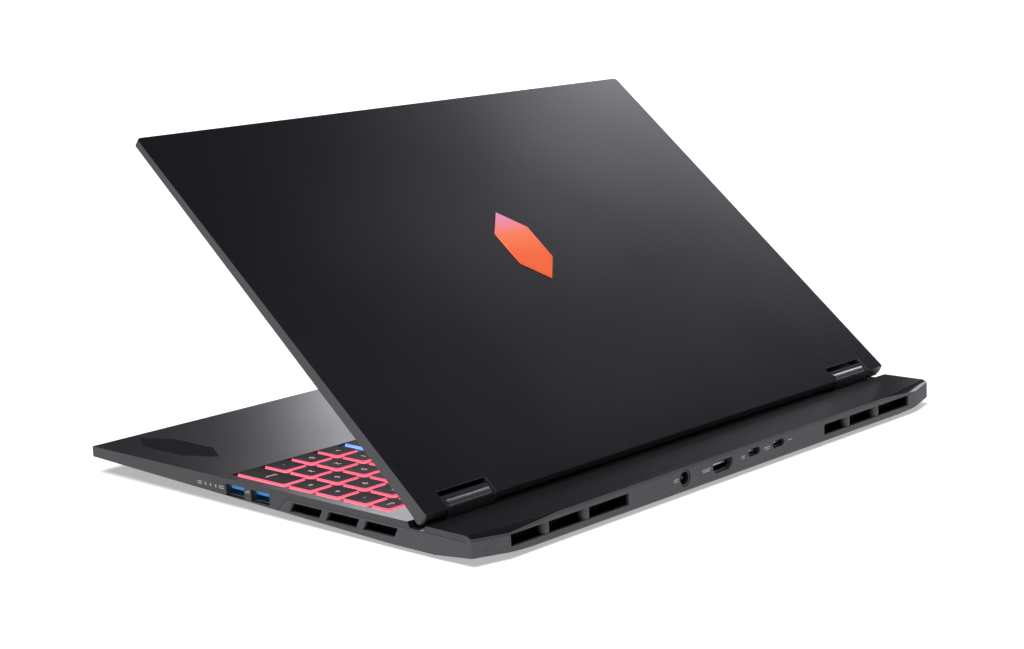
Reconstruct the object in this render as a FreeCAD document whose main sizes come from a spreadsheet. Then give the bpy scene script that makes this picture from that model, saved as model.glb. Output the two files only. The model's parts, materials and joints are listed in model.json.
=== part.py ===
import FreeCAD, Part
import math
import os
import Sketcher

# Laptop computer with a numeric keypad and a rear shelf behind its hinge.
# Millimetres. +X is the user's right, -Y the front edge, +Z up.
# The origin is the middle of the base's footprint, on the table.
# The lid is drawn closed and then opened about its hinge axis to LidAngle.

SIZES = [
    # base
    ("BaseWidth", 357.0), ("BaseDepth", 278.4), ("DeckHeight", 14.2), ("FootHeight", 2.0),
    ("TopWall", 1.2), ("SideWall", 1.6), ("SeamGap", 0.15),
    ("SideEdgeHeight", 8.8), ("SideChamferInset", 15.1), ("SideChamferEnd", 224.0),
    ("FrontChamferDepth", 15.1), ("CornerCutWidth", 18.5), ("CornerCutDepth", 4.5),
    ("ShelfDrop", 0.2), ("RearLip", 0.8), ("RearEdge", 0.9), ("CornerRise", 2.3), ("ShelfDepth", 31.8),
    ("ChannelTopWidth", 11.9), ("ChannelFloorWidth", 8.4),
    ("ChannelDepth", 2.7), ("FacetWidth", 35.5), ("FacetDepth", 7.0), ("FacetDrop", 2.0),
    ("SeamHeight", 11.2), ("SeamStepFront", 146.2), ("SeamStepLean", 7.4),
    # hinge
    ("HingeInset", 36.9), ("HingeRise", 4.0), ("LidAngle", 40.4), ("HingeSide", 30.1),
    ("NotchWidth", 30.7), ("CoverGap", 0.7), ("ShaftRadius", 2.0), ("RunningFit", 0.05),
    # lid
    ("LidSideGap", 0.85), ("LidFrontOver", 0.4), ("LidSkinRise", 3.3), ("LidFrontThick", 3.7),
    ("LidWall", 1.1), ("LidClosedGap", 0.7), ("LidRearBulge", 1.4), ("LidCorner", 2.5),
    ("BezelThick", 0.6), ("ScreenWidth", 344.7), ("ScreenHeight", 215.4), ("ScreenTopMargin", 8.0),
    ("PanelThick", 1.6), ("BadgeWidth", 25.0), ("BadgeLength", 50.0), ("BadgeCentre", 133.5),
    ("BadgeThick", 0.35),
    # keyboard
    ("KeyPitch", 19.05), ("RowPitch", 19.0), ("KeyGap", 2.9), ("KeyThick", 1.5), ("KeyTravel", 1.3),
    ("KeyProud", 0.6), ("NumPitch", 17.0), ("KeysLeft", 171.4), ("KeysFront", 108.2),
    ("FunctionDepth", 12.0), ("KeyTaper", 11.0), ("KeyCorner", 1.6), ("KeyWellMargin", 2.0),
    ("PlateThick", 0.5), ("GuideThick", 0.2),
    # touchpad
    ("PadWidth", 125.0), ("PadDepth", 82.0), ("PadLeft", 97.5), ("PadFront", 7.2),
    ("PadThick", 1.2), ("PadDrop", 0.2), ("PadGap", 0.4),
    # side vents
    ("SideVentCount", 3), ("SideVentPitch", 25.1), ("SideVentLength", 20.5), ("SideVentFront", 157.9),
    ("SideVentLow", 5.3), ("SideVentHigh", 9.9), ("SideVentLean", 2.6),
    # rear vents
    ("RearVentLength", 78.5), ("RearVentRightEnd", 19.7), ("RearVentLeftEnd", 25.5),
    ("RearVentLow", 5.4), ("RearVentHigh", 11.0), ("RearPostWidth", 5.3), ("RearPostPitch", 26.6),
    # sockets
    ("UsbWidth", 13.2), ("UsbHeight", 5.1), ("UsbDepth", 14.0), ("UsbFirst", 115.6), ("UsbPitch", 18.7),
    ("UsbCentre", 8.6), ("PortGap", 0.3), ("PortRecess", 1.0),
    ("TypeCWidth", 8.9), ("TypeCHeight", 3.2), ("TypeCFirst", -15.1), ("TypeCPitch", 20.1),
    ("TypeCPlace", 9.75), ("HdmiWidth", 14.5), ("HdmiHeight", 5.1), ("HdmiAcross", 10.2), ("HdmiPlace", 8.4),
    ("JackAcross", 39.3), ("JackPlace", 8.7), ("JackRadius", 3.9), ("JackBore", 3.1), ("JackPin", 0.8),
    ("AudioPlace", 71.0), ("AudioBore", 1.8), ("AudioBody", 2.7), ("AudioDepth", 14.0),
    ("CardPlace", 97.0), ("CardWidth", 12.6), ("CardHeight", 2.4),
    # inside
    ("BoardLow", 4.3), ("BoardThick", 1.2), ("FanRadius", 31.0), ("FanSide", 60.5),
    ("FanInset", 80.0), ("FanHousingHigh", 9.6), ("FanWall", 0.7), ("FanBlades", 24),
    ("FinPitch", 2.2), ("FinThick", 0.4), ("PipeRadius", 2.2),
]

doc = FreeCAD.newDocument("Laptop")
sheet = doc.addObject("Spreadsheet::Sheet", "Sizes")
for row, (alias, number) in enumerate(SIZES, 1):
    sheet.set(f"A{row}", alias)
    sheet.set(f"B{row}", str(number))
    sheet.setAlias(f"B{row}", alias)
doc.recompute()


class Size:
    """A number together with the sheet expression that gives it."""

    def __init__(self, number, text):
        self.number = float(number)
        self.text = text

    def join(self, other, sign, turned=False):
        other = as_size(other)
        left, right = (other, self) if turned else (self, other)
        results = {"+": lambda: left.number + right.number, "-": lambda: left.number - right.number,
                   "*": lambda: left.number * right.number, "/": lambda: left.number / right.number}
        return Size(results[sign](), f"({left.text} {sign} {right.text})")

    def __add__(self, other):
        return self.join(other, "+")

    def __radd__(self, other):
        return self.join(other, "+", True)

    def __sub__(self, other):
        return self.join(other, "-")

    def __rsub__(self, other):
        return self.join(other, "-", True)

    def __mul__(self, other):
        return self.join(other, "*")

    def __rmul__(self, other):
        return self.join(other, "*", True)

    def __truediv__(self, other):
        return self.join(other, "/")

    def __neg__(self):
        return Size(-self.number, f"(-{self.text})")


def as_size(value):
    if isinstance(value, Size):
        return value
    return Size(value, f"{float(value):.6f}" if value >= 0 else f"(-{-float(value):.6f})")


def cosine(angle):
    return Size(math.cos(math.radians(angle.number)), f"cos({angle.text} * 1 deg)")


def sine(angle):
    return Size(math.sin(math.radians(angle.number)), f"sin({angle.text} * 1 deg)")


S = {alias: Size(number, f"Sizes.{alias}") for alias, number in SIZES}


# ---------------------------------------------------------------- drawing tools

def bind(thing, prop, value):
    """Set a property and tie it to the sheet."""
    value = as_size(value)
    thing.setExpression(prop, value.text)


def box(name, x0, x1, y0, y1, z0, z1):
    x0, x1, y0, y1, z0, z1 = [as_size(v) for v in (x0, x1, y0, y1, z0, z1)]
    solid = doc.addObject("Part::Box", name)
    for prop, value in (("Length", x1 - x0), ("Width", y1 - y0), ("Height", z1 - z0),
                        ("Placement.Base.x", x0), ("Placement.Base.y", y0), ("Placement.Base.z", z0)):
        bind(solid, prop, value)
    return solid


AXIS_TURNS = {"X": (FreeCAD.Vector(0, 1, 0), 90), "Y": (FreeCAD.Vector(1, 0, 0), -90),
              "Z": (FreeCAD.Vector(0, 0, 1), 0)}


def cylinder(name, axis, x, y, z, radius, length):
    """A cylinder that starts at x, y, z and runs along the positive axis."""
    solid = doc.addObject("Part::Cylinder", name)
    solid.Placement.Rotation = FreeCAD.Rotation(*AXIS_TURNS[axis])
    for prop, value in (("Radius", radius), ("Height", length), ("Placement.Base.x", x),
                        ("Placement.Base.y", y), ("Placement.Base.z", z)):
        bind(solid, prop, value)
    return solid


def fuse(name, parts):
    if len(parts) == 1:
        return parts[0]
    joined = doc.addObject("Part::MultiFuse", name)
    joined.Shapes = parts
    return joined


def cut(name, base, tools):
    result = doc.addObject("Part::Cut", name)
    result.Base = base
    result.Tool = fuse(name + "_tools", tools) if isinstance(tools, list) else tools
    return result


def common(name, first, second):
    result = doc.addObject("Part::Common", name)
    result.Base = first
    result.Tool = second
    return result


def group(name, parts):
    """Separate solids kept side by side as one piece."""
    together = doc.addObject("Part::Compound", name)
    together.Links = parts
    return together


def pin_outline(sketch, corners):
    """Draw a closed outline of straight sides, each corner tied to the sheet."""
    first = sketch.GeometryCount
    count = len(corners)
    points = [FreeCAD.Vector(as_size(u).number, as_size(v).number, 0) for u, v in corners]
    for index in range(count):
        sketch.addGeometry(Part.LineSegment(points[index], points[(index + 1) % count]))
    for index, (u, v) in enumerate(corners):
        side, after = first + index, first + (index + 1) % count
        sketch.addConstraint(Sketcher.Constraint("Coincident", side, 2, after, 1))
        for kind, value in (("DistanceX", as_size(u)), ("DistanceY", as_size(v))):
            spot = sketch.addConstraint(Sketcher.Constraint(kind, -1, 1, side, 1, value.number))
            sketch.renameConstraint(spot, f"{kind}_{side}")
            sketch.setExpression(f"Constraints.{kind}_{side}", value.text)


def rectangle(x0, x1, y0, y1):
    return [(x0, y0), (x1, y0), (x1, y1), (x0, y1)]


def body(name):
    piece = doc.addObject("PartDesign::Body", name)
    piece.AllowCompound = True
    return piece


def sketch_on(piece, plane, level, outlines, circles=()):
    """A sketch on an origin plane of the body, moved along the plane's normal by level."""
    sketch = piece.newObject("Sketcher::SketchObject", piece.Name + "_sketch")
    support = [f for f in piece.Origin.OriginFeatures if f.Role == plane + "_Plane"][0]
    sketch.AttachmentSupport = [(support, "")]
    sketch.MapMode = "FlatFace"
    bind(sketch, "AttachmentOffset.Base.z", level)
    for corners in outlines:
        pin_outline(sketch, corners)
    for u, v, radius in circles:
        u, v, radius = as_size(u), as_size(v), as_size(radius)
        ring = sketch.addGeometry(Part.Circle(FreeCAD.Vector(u.number, v.number, 0),
                                              FreeCAD.Vector(0, 0, 1), radius.number))
        for kind, value in (("DistanceX", u), ("DistanceY", v)):
            spot = sketch.addConstraint(Sketcher.Constraint(kind, -1, 1, ring, 3, value.number))
            sketch.renameConstraint(spot, f"{kind}_{ring}")
            sketch.setExpression(f"Constraints.{kind}_{ring}", value.text)
        spot = sketch.addConstraint(Sketcher.Constraint("Radius", ring, radius.number))
        sketch.renameConstraint(spot, f"Radius_{ring}")
        sketch.setExpression(f"Constraints.Radius_{ring}", radius.text)
    return sketch


def pad(piece, sketch, length, both_ways=False, backwards=False, taper=None):
    feature = piece.newObject("PartDesign::Pad", piece.Name + "_pad")
    feature.Profile = sketch
    bind(feature, "Length", length)
    if both_ways:
        feature.SideType = "Symmetric"
    feature.Reversed = backwards
    if taper is not None:
        bind(feature, "TaperAngle", taper)
    sketch.Visibility = False
    return feature


def pocket(piece, sketch, depth, both_ways=False, backwards=False):
    feature = piece.newObject("PartDesign::Pocket", piece.Name + "_pocket")
    feature.Profile = sketch
    bind(feature, "Length", depth)
    if both_ways:
        feature.SideType = "Symmetric"
    feature.Reversed = backwards
    sketch.Visibility = False
    return feature


def round_edges(piece, radius, wanted, kind="Fillet"):
    """Fillet or chamfer those edges of the body so far for which wanted(edge) holds."""
    doc.recompute()
    before = piece.Tip
    edges = [f"Edge{n}" for n, edge in enumerate(before.Shape.Edges, 1) if wanted(edge)]
    feature = piece.newObject("PartDesign::" + kind, piece.Name + "_" + kind.lower())
    feature.Base = (before, edges)
    bind(feature, "Radius" if kind == "Fillet" else "Size", radius)
    return feature


def runs_along(edge, axis):
    if edge.Curve.TypeId != "Part::GeomLine":
        return False
    return abs(abs(getattr(edge.tangentAt(edge.FirstParameter), axis)) - 1) < 1e-6


def slant_cutter(name, through, outwards, reach):
    """A large block whose inner face lies on the plane through a point, with the given normal."""
    turn = FreeCAD.Rotation(FreeCAD.Vector(0, 0, 1), outwards)
    block = doc.addObject("Part::Box", name)
    block.Length = block.Width = block.Height = reach
    corner = turn.multVec(FreeCAD.Vector(-reach / 2, -reach / 2, 0))
    block.Placement = FreeCAD.Placement(through + corner, turn)
    return block


kept = []


def keep(thing, label, placement=None):
    """Name a finished piece; the name is its file's name too."""
    thing.Label = label
    if placement is not None:
        placement(thing)
    kept.append(thing)
    return thing


# ---------------------------------------------------------------- main places

half_width = S["BaseWidth"] / 2
rear = S["BaseDepth"] / 2
front = -rear
deck = S["DeckHeight"]
floor = S["FootHeight"]
shelf = deck - S["ShelfDrop"]
channel_floor = deck - S["ChannelDepth"]
shelf_front = rear - S["ShelfDepth"]
deck_end = shelf_front - S["ChannelTopWidth"]
channel_side = (S["ChannelTopWidth"] - S["ChannelFloorWidth"]) / 2
hinge_y = rear - S["HingeInset"]
hinge_z = deck + S["HingeRise"]
plate_low = deck - S["TopWall"]


# ---------------------------------------------------------------- shell of the base

def base_form(name, side, top, bottom):
    """The base's outer form moved inwards by the side, top and bottom wall thickness."""
    side, top, bottom = as_size(side), as_size(top), as_size(bottom)
    block = box(name + "_block", side - half_width, half_width - side, front + side, rear - side,
                floor + bottom, deck - top)
    w, d, drop = half_width.number, rear.number, S["SideEdgeHeight"].number
    low = floor.number
    inset, end = S["SideChamferInset"].number, S["SideChamferEnd"].number
    reach = 4 * d
    wall, lid_wall = side.number, top.number
    rear_edge = FreeCAD.Vector(0, 1, -1).normalize()
    rear_foot = FreeCAD.Vector(0, d, low + S["RearEdge"].number)
    tools = [slant_cutter(name + "_rear_edge", rear_foot - rear_edge * wall, rear_edge, reach)]
    for hand in (1, -1):
        corner = FreeCAD.Vector(hand * w, -d, drop)
        along = FreeCAD.Vector(hand * w, end - d, low) - corner
        across = FreeCAD.Vector(hand * (w - inset), -d, low) - corner
        outwards = across.cross(along) * hand
        outwards.normalize()
        if outwards.z > 0:
            outwards = -outwards
        tools.append(slant_cutter(f"{name}_side_chamfer", corner - outwards * wall, outwards, reach))
        cut_corner = FreeCAD.Vector(hand * w, d - S["CornerCutDepth"].number, 0)
        square = FreeCAD.Vector(hand * S["CornerCutDepth"].number, S["CornerCutWidth"].number, 0)
        square.normalize()
        tools.append(slant_cutter(f"{name}_corner_cut", cut_corner - square * wall, square, reach))
        rise_start = FreeCAD.Vector(hand * w, d - 27, low)
        rise_side = FreeCAD.Vector(hand * w, d - S["CornerCutDepth"].number, low + S["CornerRise"].number)
        rise_rear = FreeCAD.Vector(hand * (w - 23.5), d, low + S["RearEdge"].number)
        under = (rise_side - rise_start).cross(rise_rear - rise_start)
        under.normalize()
        if under.z > 0:
            under = -under
        tools.append(slant_cutter(f"{name}_corner_rise", rise_start - under * bottom.number, under, reach))
        facet = facet_plane(hand)
        tools.append(slant_cutter(f"{name}_facet", facet[0] - facet[1] * lid_wall, facet[1], reach))
    lean = FreeCAD.Vector(0, low - drop, -S["FrontChamferDepth"].number)
    lean.normalize()
    tools.append(slant_cutter(f"{name}_front_chamfer", FreeCAD.Vector(0, -d, drop) - lean * wall, lean, reach))
    channel = body(name + "_channel")
    outline = [(deck_end - top, deck - top), (deck_end + channel_side - top, channel_floor - top),
               (shelf_front - channel_side + top, channel_floor - top), (shelf_front + top, shelf - top),
               (rear + 1, shelf - top), (rear + 1, deck + 1), (deck_end - top, deck + 1)]
    pad(channel, sketch_on(channel, "YZ", 0, [outline]), S["BaseWidth"] * 1.1, both_ways=True)
    tools.append(channel)
    return cut(name, block, tools)


def facet_plane(hand):
    """The glossy corner facet of the shelf: a point of its plane and its outward normal."""
    w, d, top = half_width.number, rear.number, shelf.number
    on_side = FreeCAD.Vector(hand * w, d - S["FacetDepth"].number, top)
    on_rear = FreeCAD.Vector(hand * (w - S["FacetWidth"].number), d - 2, top)
    below = FreeCAD.Vector(hand * (w - S["CornerCutWidth"].number), d, top - S["FacetDrop"].number)
    outwards = (on_rear - on_side).cross(below - on_side)
    outwards.normalize()
    if outwards.z < 0:
        outwards = -outwards
    return on_side, outwards


outer_form = base_form("outer_form", 0, 0, 0)
inner_form = base_form("inner_form", S["SideWall"], S["TopWall"], S["TopWall"])
base_shell = cut("base_shell", outer_form, [inner_form])


def lower_zone(name, gap):
    """The space that belongs to the bottom cover, below the seam all round."""
    side_top = S["SideEdgeHeight"] - gap
    step_low = front + S["SeamStepFront"]
    slope = (S["SideEdgeHeight"] - floor) / S["SideChamferEnd"]
    strip = body(name + "_strip")
    outline = [(front - 1, -1), (front - 1, side_top), (step_low + gap, side_top - slope * S["SeamStepFront"]),
               (step_low + S["SeamStepLean"] + gap, S["SeamHeight"] - gap), (rear + 1, S["SeamHeight"] - gap),
               (rear + 1, -1)]
    pad(strip, sketch_on(strip, "YZ", 0, [outline]), S["BaseWidth"] * 1.1, both_ways=True)
    middle = box(name + "_middle", S["SideWall"] - half_width, half_width - S["SideWall"],
                 front - 1, rear - S["SideWall"], S["SideEdgeHeight"] - gap, deck)
    edge = cut(name + "_edge", strip, [middle])
    core = box(name + "_core", S["SideWall"] - half_width, half_width - S["SideWall"],
               front - 1, rear - S["SideWall"], -1, S["SideEdgeHeight"] - gap)
    wall_top = shelf - S["RearLip"] - gap
    wall = box(name + "_rear", -half_width, half_width, rear - S["SideWall"], rear + 1, -1, wall_top)
    parts = [edge, core, wall]
    for hand in (1, -1):
        inner = half_width - S["CornerCutWidth"] - S["SideWall"]
        ends = (inner, half_width + 1) if hand > 0 else (-half_width - 1, -inner)
        parts.append(box(name + "_corner", *ends, rear - S["CornerCutDepth"] - S["SideWall"] * 2, rear + 1,
                         -1, wall_top))
    zone = fuse(name + "_parts", parts)
    facets = [base_form(name + "_inside", S["SideWall"], S["RearLip"], S["TopWall"])]
    for hand in (1, -1):
        point, outwards = facet_plane(hand)
        down = S["RearLip"].number + as_size(gap).number
        facets.append(slant_cutter(name + "_facet", point - outwards * down, outwards, 4 * rear.number))
    return cut(name, zone, facets)


# ---------------------------------------------------------------- keyboard layout

keys_left = -S["KeysLeft"]
keys_front = front + S["KeysFront"]
pad_left = keys_left + S["KeyPitch"] * 14.5 + S["KeyGap"] / 2 - 0.1
cap_depth = S["RowPitch"] - S["KeyGap"]
keys_right = pad_left + S["NumPitch"] * 4 - S["KeyGap"]
keys_rear = keys_front + S["RowPitch"] * 5 + S["FunctionDepth"]
well = [keys_left - S["KeyWellMargin"], keys_right + S["KeyWellMargin"],
        keys_front - S["KeyWellMargin"], keys_rear + S["KeyWellMargin"]]
cap_top = deck + S["KeyProud"]
cap_low = cap_top - S["KeyThick"]
plate_top = cap_low - S["KeyTravel"] - 0.1
tray_wall = as_size(1.5)
touch_front = front + S["PadFront"]
touch = [-S["PadLeft"], S["PadWidth"] - S["PadLeft"], touch_front, touch_front + S["PadDepth"]]


def row_edges(row):
    """Front and rear edge of the caps in a row; row 5 is the short function row."""
    low = keys_front + S["RowPitch"] * row
    return low, low + (S["FunctionDepth"] if row == 5 else cap_depth)


def main_cap(row, start, units):
    """A cap of the main block that starts so many key units from its left end."""
    low, high = row_edges(row)
    left = keys_left + S["KeyPitch"] * start
    return rectangle(left, left + S["KeyPitch"] * units - S["KeyGap"], low, high)


def num_cap(row, column, rows=1):
    low, _ = row_edges(row)
    _, high = row_edges(row + rows - 1)
    left = pad_left + S["NumPitch"] * column
    return rectangle(left, left + S["NumPitch"] - S["KeyGap"], low, high)


KEY_GROUPS = {
    "function_row_keys": [main_cap(5, 14.5 / 14 * n, 14.5 / 14) for n in range(14)]
    + [num_cap(5, n) for n in range(3)],
    "power_button": [num_cap(5, 3)],
    "number_row_keys": [main_cap(4, n, 1) for n in range(13)],
    "backspace_key": [main_cap(4, 13, 1.5)],
    "tab_key": [main_cap(3, 0, 1.5)],
    "upper_letter_row_keys": [main_cap(3, 1.5 + n, 1) for n in range(13)],
    "caps_lock_key": [main_cap(2, 0, 1.75)],
    "home_row_keys": [main_cap(2, 1.75 + n, 1) for n in range(11)],
    "enter_key": [main_cap(2, 12.75, 1.75)],
    "left_shift_key": [main_cap(1, 0, 2.25)],
    "lower_letter_row_keys": [main_cap(1, 2.25 + n, 1) for n in range(10)],
    "right_shift_key": [main_cap(1, 12.25, 1.25)],
    "arrow_up_key": [main_cap(1, 13.5, 1)],
    "modifier_keys": [main_cap(0, 0, 1.25)] + [main_cap(0, 1.25 + n, 1) for n in range(3)]
    + [main_cap(0, 9.5 + n, 1) for n in range(3)],
    "space_bar": [main_cap(0, 4.25, 5.25)],
    "arrow_left_key": [main_cap(0, 12.5, 1)],
    "arrow_down_key": [main_cap(0, 13.5, 1)],
    "arrow_right_key": [num_cap(0, 0)],
    "numpad_keys": [num_cap(row, column) for row in (2, 3, 4) for column in range(4)]
    + [num_cap(1, column) for column in range(3)] + [num_cap(0, 1), num_cap(0, 2)],
    "numpad_enter_key": [num_cap(0, 3, 2)],
}

# ---------------------------------------------------------------- top case

upper_shell = cut("upper_shell", base_shell, [lower_zone("zone_for_top", as_size(0))])
hinge_x = half_width - S["HingeSide"]
hinge_sides = {"right": hinge_x, "left": -hinge_x}
bracket_half = as_size(4.0)
openings = [box("key_well", *well, plate_low - 1, deck + 1),
            box("pad_well", touch[0] - S["PadGap"], touch[1] + S["PadGap"], touch[2] - S["PadGap"],
                touch[3] + S["PadGap"], plate_low - 1, deck + 1)]
for name, place in hinge_sides.items():
    openings.append(box(name + "_bracket_slot", place - bracket_half - 0.5, place + bracket_half + 0.5,
                        hinge_y - 1.7, hinge_y + 1.7, channel_floor - S["TopWall"] - 1, channel_floor + 1))


def socket_hole(name, side, centre, middle, width, height):
    """A rectangular hole through a side wall, side +1 right, -1 left."""
    near, far = half_width - S["SideWall"] - 6, half_width + 1
    ends = (near, far) if side > 0 else (-far, -near)
    return box(name, *ends, centre - width / 2, centre + width / 2, middle - height / 2, middle + height / 2)


usb_places = [front + S["UsbFirst"] + S["UsbPitch"] * n for n in range(2)]
usb_hole = (S["UsbWidth"] + S["PortGap"] * 2, S["UsbHeight"] + S["PortGap"] * 2)
side_holes = [socket_hole(f"usb_hole_{number}", 1, place, S["UsbCentre"], *usb_hole)
              for number, place in enumerate(usb_places)]
side_holes.append(socket_hole("usb_hole_left", -1, usb_places[1], S["UsbCentre"], *usb_hole))
card_middle = S["UsbCentre"] + 1.5
audio_middle = S["UsbCentre"] + 1.3
card_place, audio_place = front + S["CardPlace"], front + S["AudioPlace"]
side_holes.append(socket_hole("card_hole", -1, card_place, card_middle, S["CardWidth"] + S["PortGap"] * 2,
                              S["CardHeight"] + S["PortGap"] * 2))
side_holes.append(cylinder("audio_hole", "X", -half_width - 1, audio_place, audio_middle,
                           S["AudioBody"] + 0.1, S["SideWall"] + 4))

# each screw pair: how far in from the sides, how far along, and the face over its boss
SCREW_PAIRS = [(28.5, front + 27.2, deck), (28.5, front + 61.2, deck), (120.5, rear - 41.2, channel_floor),
               (116.5, rear - 11.2, shelf), (10.5, rear - 21.2, shelf)]
SCREW_SPOTS = [(x, y, level) for inset, y, level in SCREW_PAIRS
               for x in (half_width - inset, inset - half_width)]
boss_low = as_size(4.4)
screw_head, screw_shank, boss_radius = as_size(2.4), as_size(1.0), as_size(2.4)


bosses = [cylinder(f"boss_{number}", "Z", x, y, boss_low, boss_radius, level - S["TopWall"] / 2 - boss_low)
          for number, (x, y, level) in enumerate(SCREW_SPOTS)]
boss_holes = [cylinder(f"boss_hole_{number}", "Z", x, y, boss_low - 1, screw_shank, 4.2)
              for number, (x, y, level) in enumerate(SCREW_SPOTS)]
top_case = cut("top_case", fuse("top_case_body", [upper_shell] + bosses), openings + side_holes + boss_holes)
keep(top_case, "top_case")

# ---------------------------------------------------------------- bottom cover

lower_shell = common("lower_shell", base_shell, lower_zone("zone_for_bottom", S["SeamGap"]))


def leaning_vent(number):
    """One leaning side vent, as a four-cornered outline on the YZ plane."""
    low, high = S["SideVentLow"], S["SideVentHigh"]
    start = front + S["SideVentFront"] - S["SideVentLean"] + S["SideVentPitch"] * number
    end = start + S["SideVentLength"]
    return [(start, low), (end, low), (end + S["SideVentLean"], high), (start + S["SideVentLean"], high)]


side_vents = body("side_vents")
vent_outlines = [leaning_vent(n) for n in range(int(S["SideVentCount"].number))]
pad(side_vents, sketch_on(side_vents, "YZ", 0, vent_outlines),
    S["BaseWidth"] * 1.1, both_ways=True)
vent_core = box("vent_core", S["SideWall"] * 2 - half_width, half_width - S["SideWall"] * 2,
                front, rear, 0, deck)
side_vent_holes = cut("side_vent_holes", side_vents, [vent_core])
vent_right_end = half_width - S["RearVentRightEnd"]
vent_left_end = S["RearVentLeftEnd"] - half_width
rear_vent_ends = [(vent_right_end - S["RearVentLength"], vent_right_end),
                  (vent_left_end, vent_left_end + S["RearVentLength"])]
rear_wall_in = rear - S["SideWall"] - 1
rear_vents = [box(f"rear_vent_{n}", *ends, rear_wall_in, rear + 1, S["RearVentLow"], S["RearVentHigh"])
              for n, ends in enumerate(rear_vent_ends)]
rear_posts = []
for middle in (vent_right_end - S["RearVentLength"] * 0.64, vent_left_end + S["RearVentLength"] * 0.715):
    for n in range(2):
        x = middle + S["RearPostPitch"] * n if middle.number > 0 else middle - S["RearPostPitch"] * n
        rear_posts.append(cylinder("rear_post", "Z", x, rear - S["RearPostWidth"] / 2 - 0.3,
                                   S["RearVentLow"] - 0.5, S["RearPostWidth"] / 2,
                                   S["RearVentHigh"] - S["RearVentLow"] + 1))


def rounded_bar(name, x, width, height, corner, mouth, depth):
    """A bar along Y with rounded long edges, from its mouth inwards, at the USB-C sockets' height."""
    bar = body(name)
    z = S["TypeCPlace"]
    outline = rectangle(x - width / 2, x + width / 2, z - height / 2, z + height / 2)
    pad(bar, sketch_on(bar, "XZ", -mouth, [outline]), depth)
    round_edges(bar, corner, lambda edge: runs_along(edge, "y"))
    return bar


def rear_slot(name, x, width, height, corner):
    """A hole through the rear wall for a socket."""
    return rounded_bar(name, x, width, height, corner, rear + 1, S["SideWall"] + 3)


type_c_places = [S["TypeCFirst"] - S["TypeCPitch"] * n for n in range(2)]
type_c_hole = (S["TypeCWidth"] + S["PortGap"] * 2, S["TypeCHeight"] + S["PortGap"] * 2)
rear_holes = [rear_slot(f"type_c_hole_{n}", x, *type_c_hole, type_c_hole[1] / 2 - 0.01)
              for n, x in enumerate(type_c_places)]


def hdmi_outline(inset):
    """HDMI outline with its two lower corners cut away."""
    x, z = S["HdmiAcross"], S["HdmiPlace"]
    half, high = S["HdmiWidth"] / 2 - inset, S["HdmiHeight"] / 2 - inset
    low = as_size(2.0)
    return [(x - half, z + high), (x - half, z - high + low), (x - half + low, z - high),
            (x + half - low, z - high), (x + half, z - high + low), (x + half, z + high)]


hdmi_hole = body("hdmi_hole")
pad(hdmi_hole, sketch_on(hdmi_hole, "XZ", -rear - 1, [hdmi_outline(-S["PortGap"])]), S["SideWall"] + 3)
rear_holes.append(hdmi_hole)
rear_holes.append(cylinder("jack_hole", "Y", S["JackAcross"], rear_wall_in, S["JackPlace"],
                           S["JackRadius"] + S["PortGap"], 4))

fan_places = {"right": half_width - S["FanSide"], "left": S["FanSide"] - half_width}
fan_y = rear - S["FanInset"]
intakes = []
intake_count, intake_width = 11, 2.4
for name, place in fan_places.items():
    for n in range(-(intake_count // 2), intake_count // 2 + 1):
        share = 2 * n / (intake_count + 1)
        half = S["FanRadius"] * math.sqrt(1 - share ** 2) - 1
        middle = fan_y + S["FanRadius"] * share
        intakes.append(box(f"{name}_intake", place - half, place + half, middle - intake_width / 2,
                           middle + intake_width / 2, -1, floor + S["TopWall"] + 1))
screw_holes = []
for number, (x, y, _) in enumerate(SCREW_SPOTS):
    screw_holes.append(cylinder(f"screw_hole_{number}", "Z", x, y, floor - 1, screw_shank + 0.15, 4))
    screw_holes.append(cylinder(f"screw_seat_{number}", "Z", x, y, floor - 1, screw_head + 0.15, 1.7))
open_cover = cut("open_cover", lower_shell, [side_vent_holes] + rear_vents + intakes + screw_holes
                 + rear_holes + side_holes)
bottom_cover = fuse("bottom_cover", [open_cover] + rear_posts)
keep(bottom_cover, "bottom_cover")

screws = []
for x, y, _ in SCREW_SPOTS:
    head = cylinder("screw_head", "Z", x, y, floor + 0.2, screw_head, 0.5)
    shank = cylinder("screw_shank", "Z", x, y, floor + 0.7, screw_shank - 0.05, 4.6)
    socket = doc.addObject("Part::Prism", "screw_socket")
    socket.Polygon = 6
    bind(socket, "Circumradius", 0.9)
    bind(socket, "Height", 0.4)
    for prop, value in (("x", x), ("y", y), ("z", floor + 0.2 - 0.1)):
        bind(socket, "Placement.Base." + prop, value)
    screws.append(cut("screw", fuse("screw_body", [head, shank]), [socket]))
keep(group("bottom_screws", screws), "bottom_screws")

feet = body("rubber_feet")
rear_foot, foot_out, foot_length = half_width - 53.5, half_width - 38.5, as_size(48.0)
foot_front, foot_rear = (front + 26, front + 33), (rear - 24, rear - 16)
foot_corner = 3.0
pad(feet, sketch_on(feet, "XY", 0, [rectangle(-rear_foot, rear_foot, *foot_rear),
                                    rectangle(-foot_out, foot_length - foot_out, *foot_front),
                                    rectangle(foot_out - foot_length, foot_out, *foot_front)]), floor)
round_edges(feet, foot_corner, lambda edge: runs_along(edge, "z"))
keep(feet, "rubber_feet")

# ---------------------------------------------------------------- keyboard

tray = body("keyboard_plate")
tray_low = plate_top - S["PlateThick"]
outside = rectangle(well[0] - tray_wall, well[1] + tray_wall, well[2] - tray_wall, well[3] + tray_wall)
pad(tray, sketch_on(tray, "XY", tray_low, [outside]), plate_low - tray_low)
pocket(tray, sketch_on(tray, "XY", plate_low, [rectangle(*well)]), plate_low - plate_top)
keep(tray, "keyboard_plate")

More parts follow.
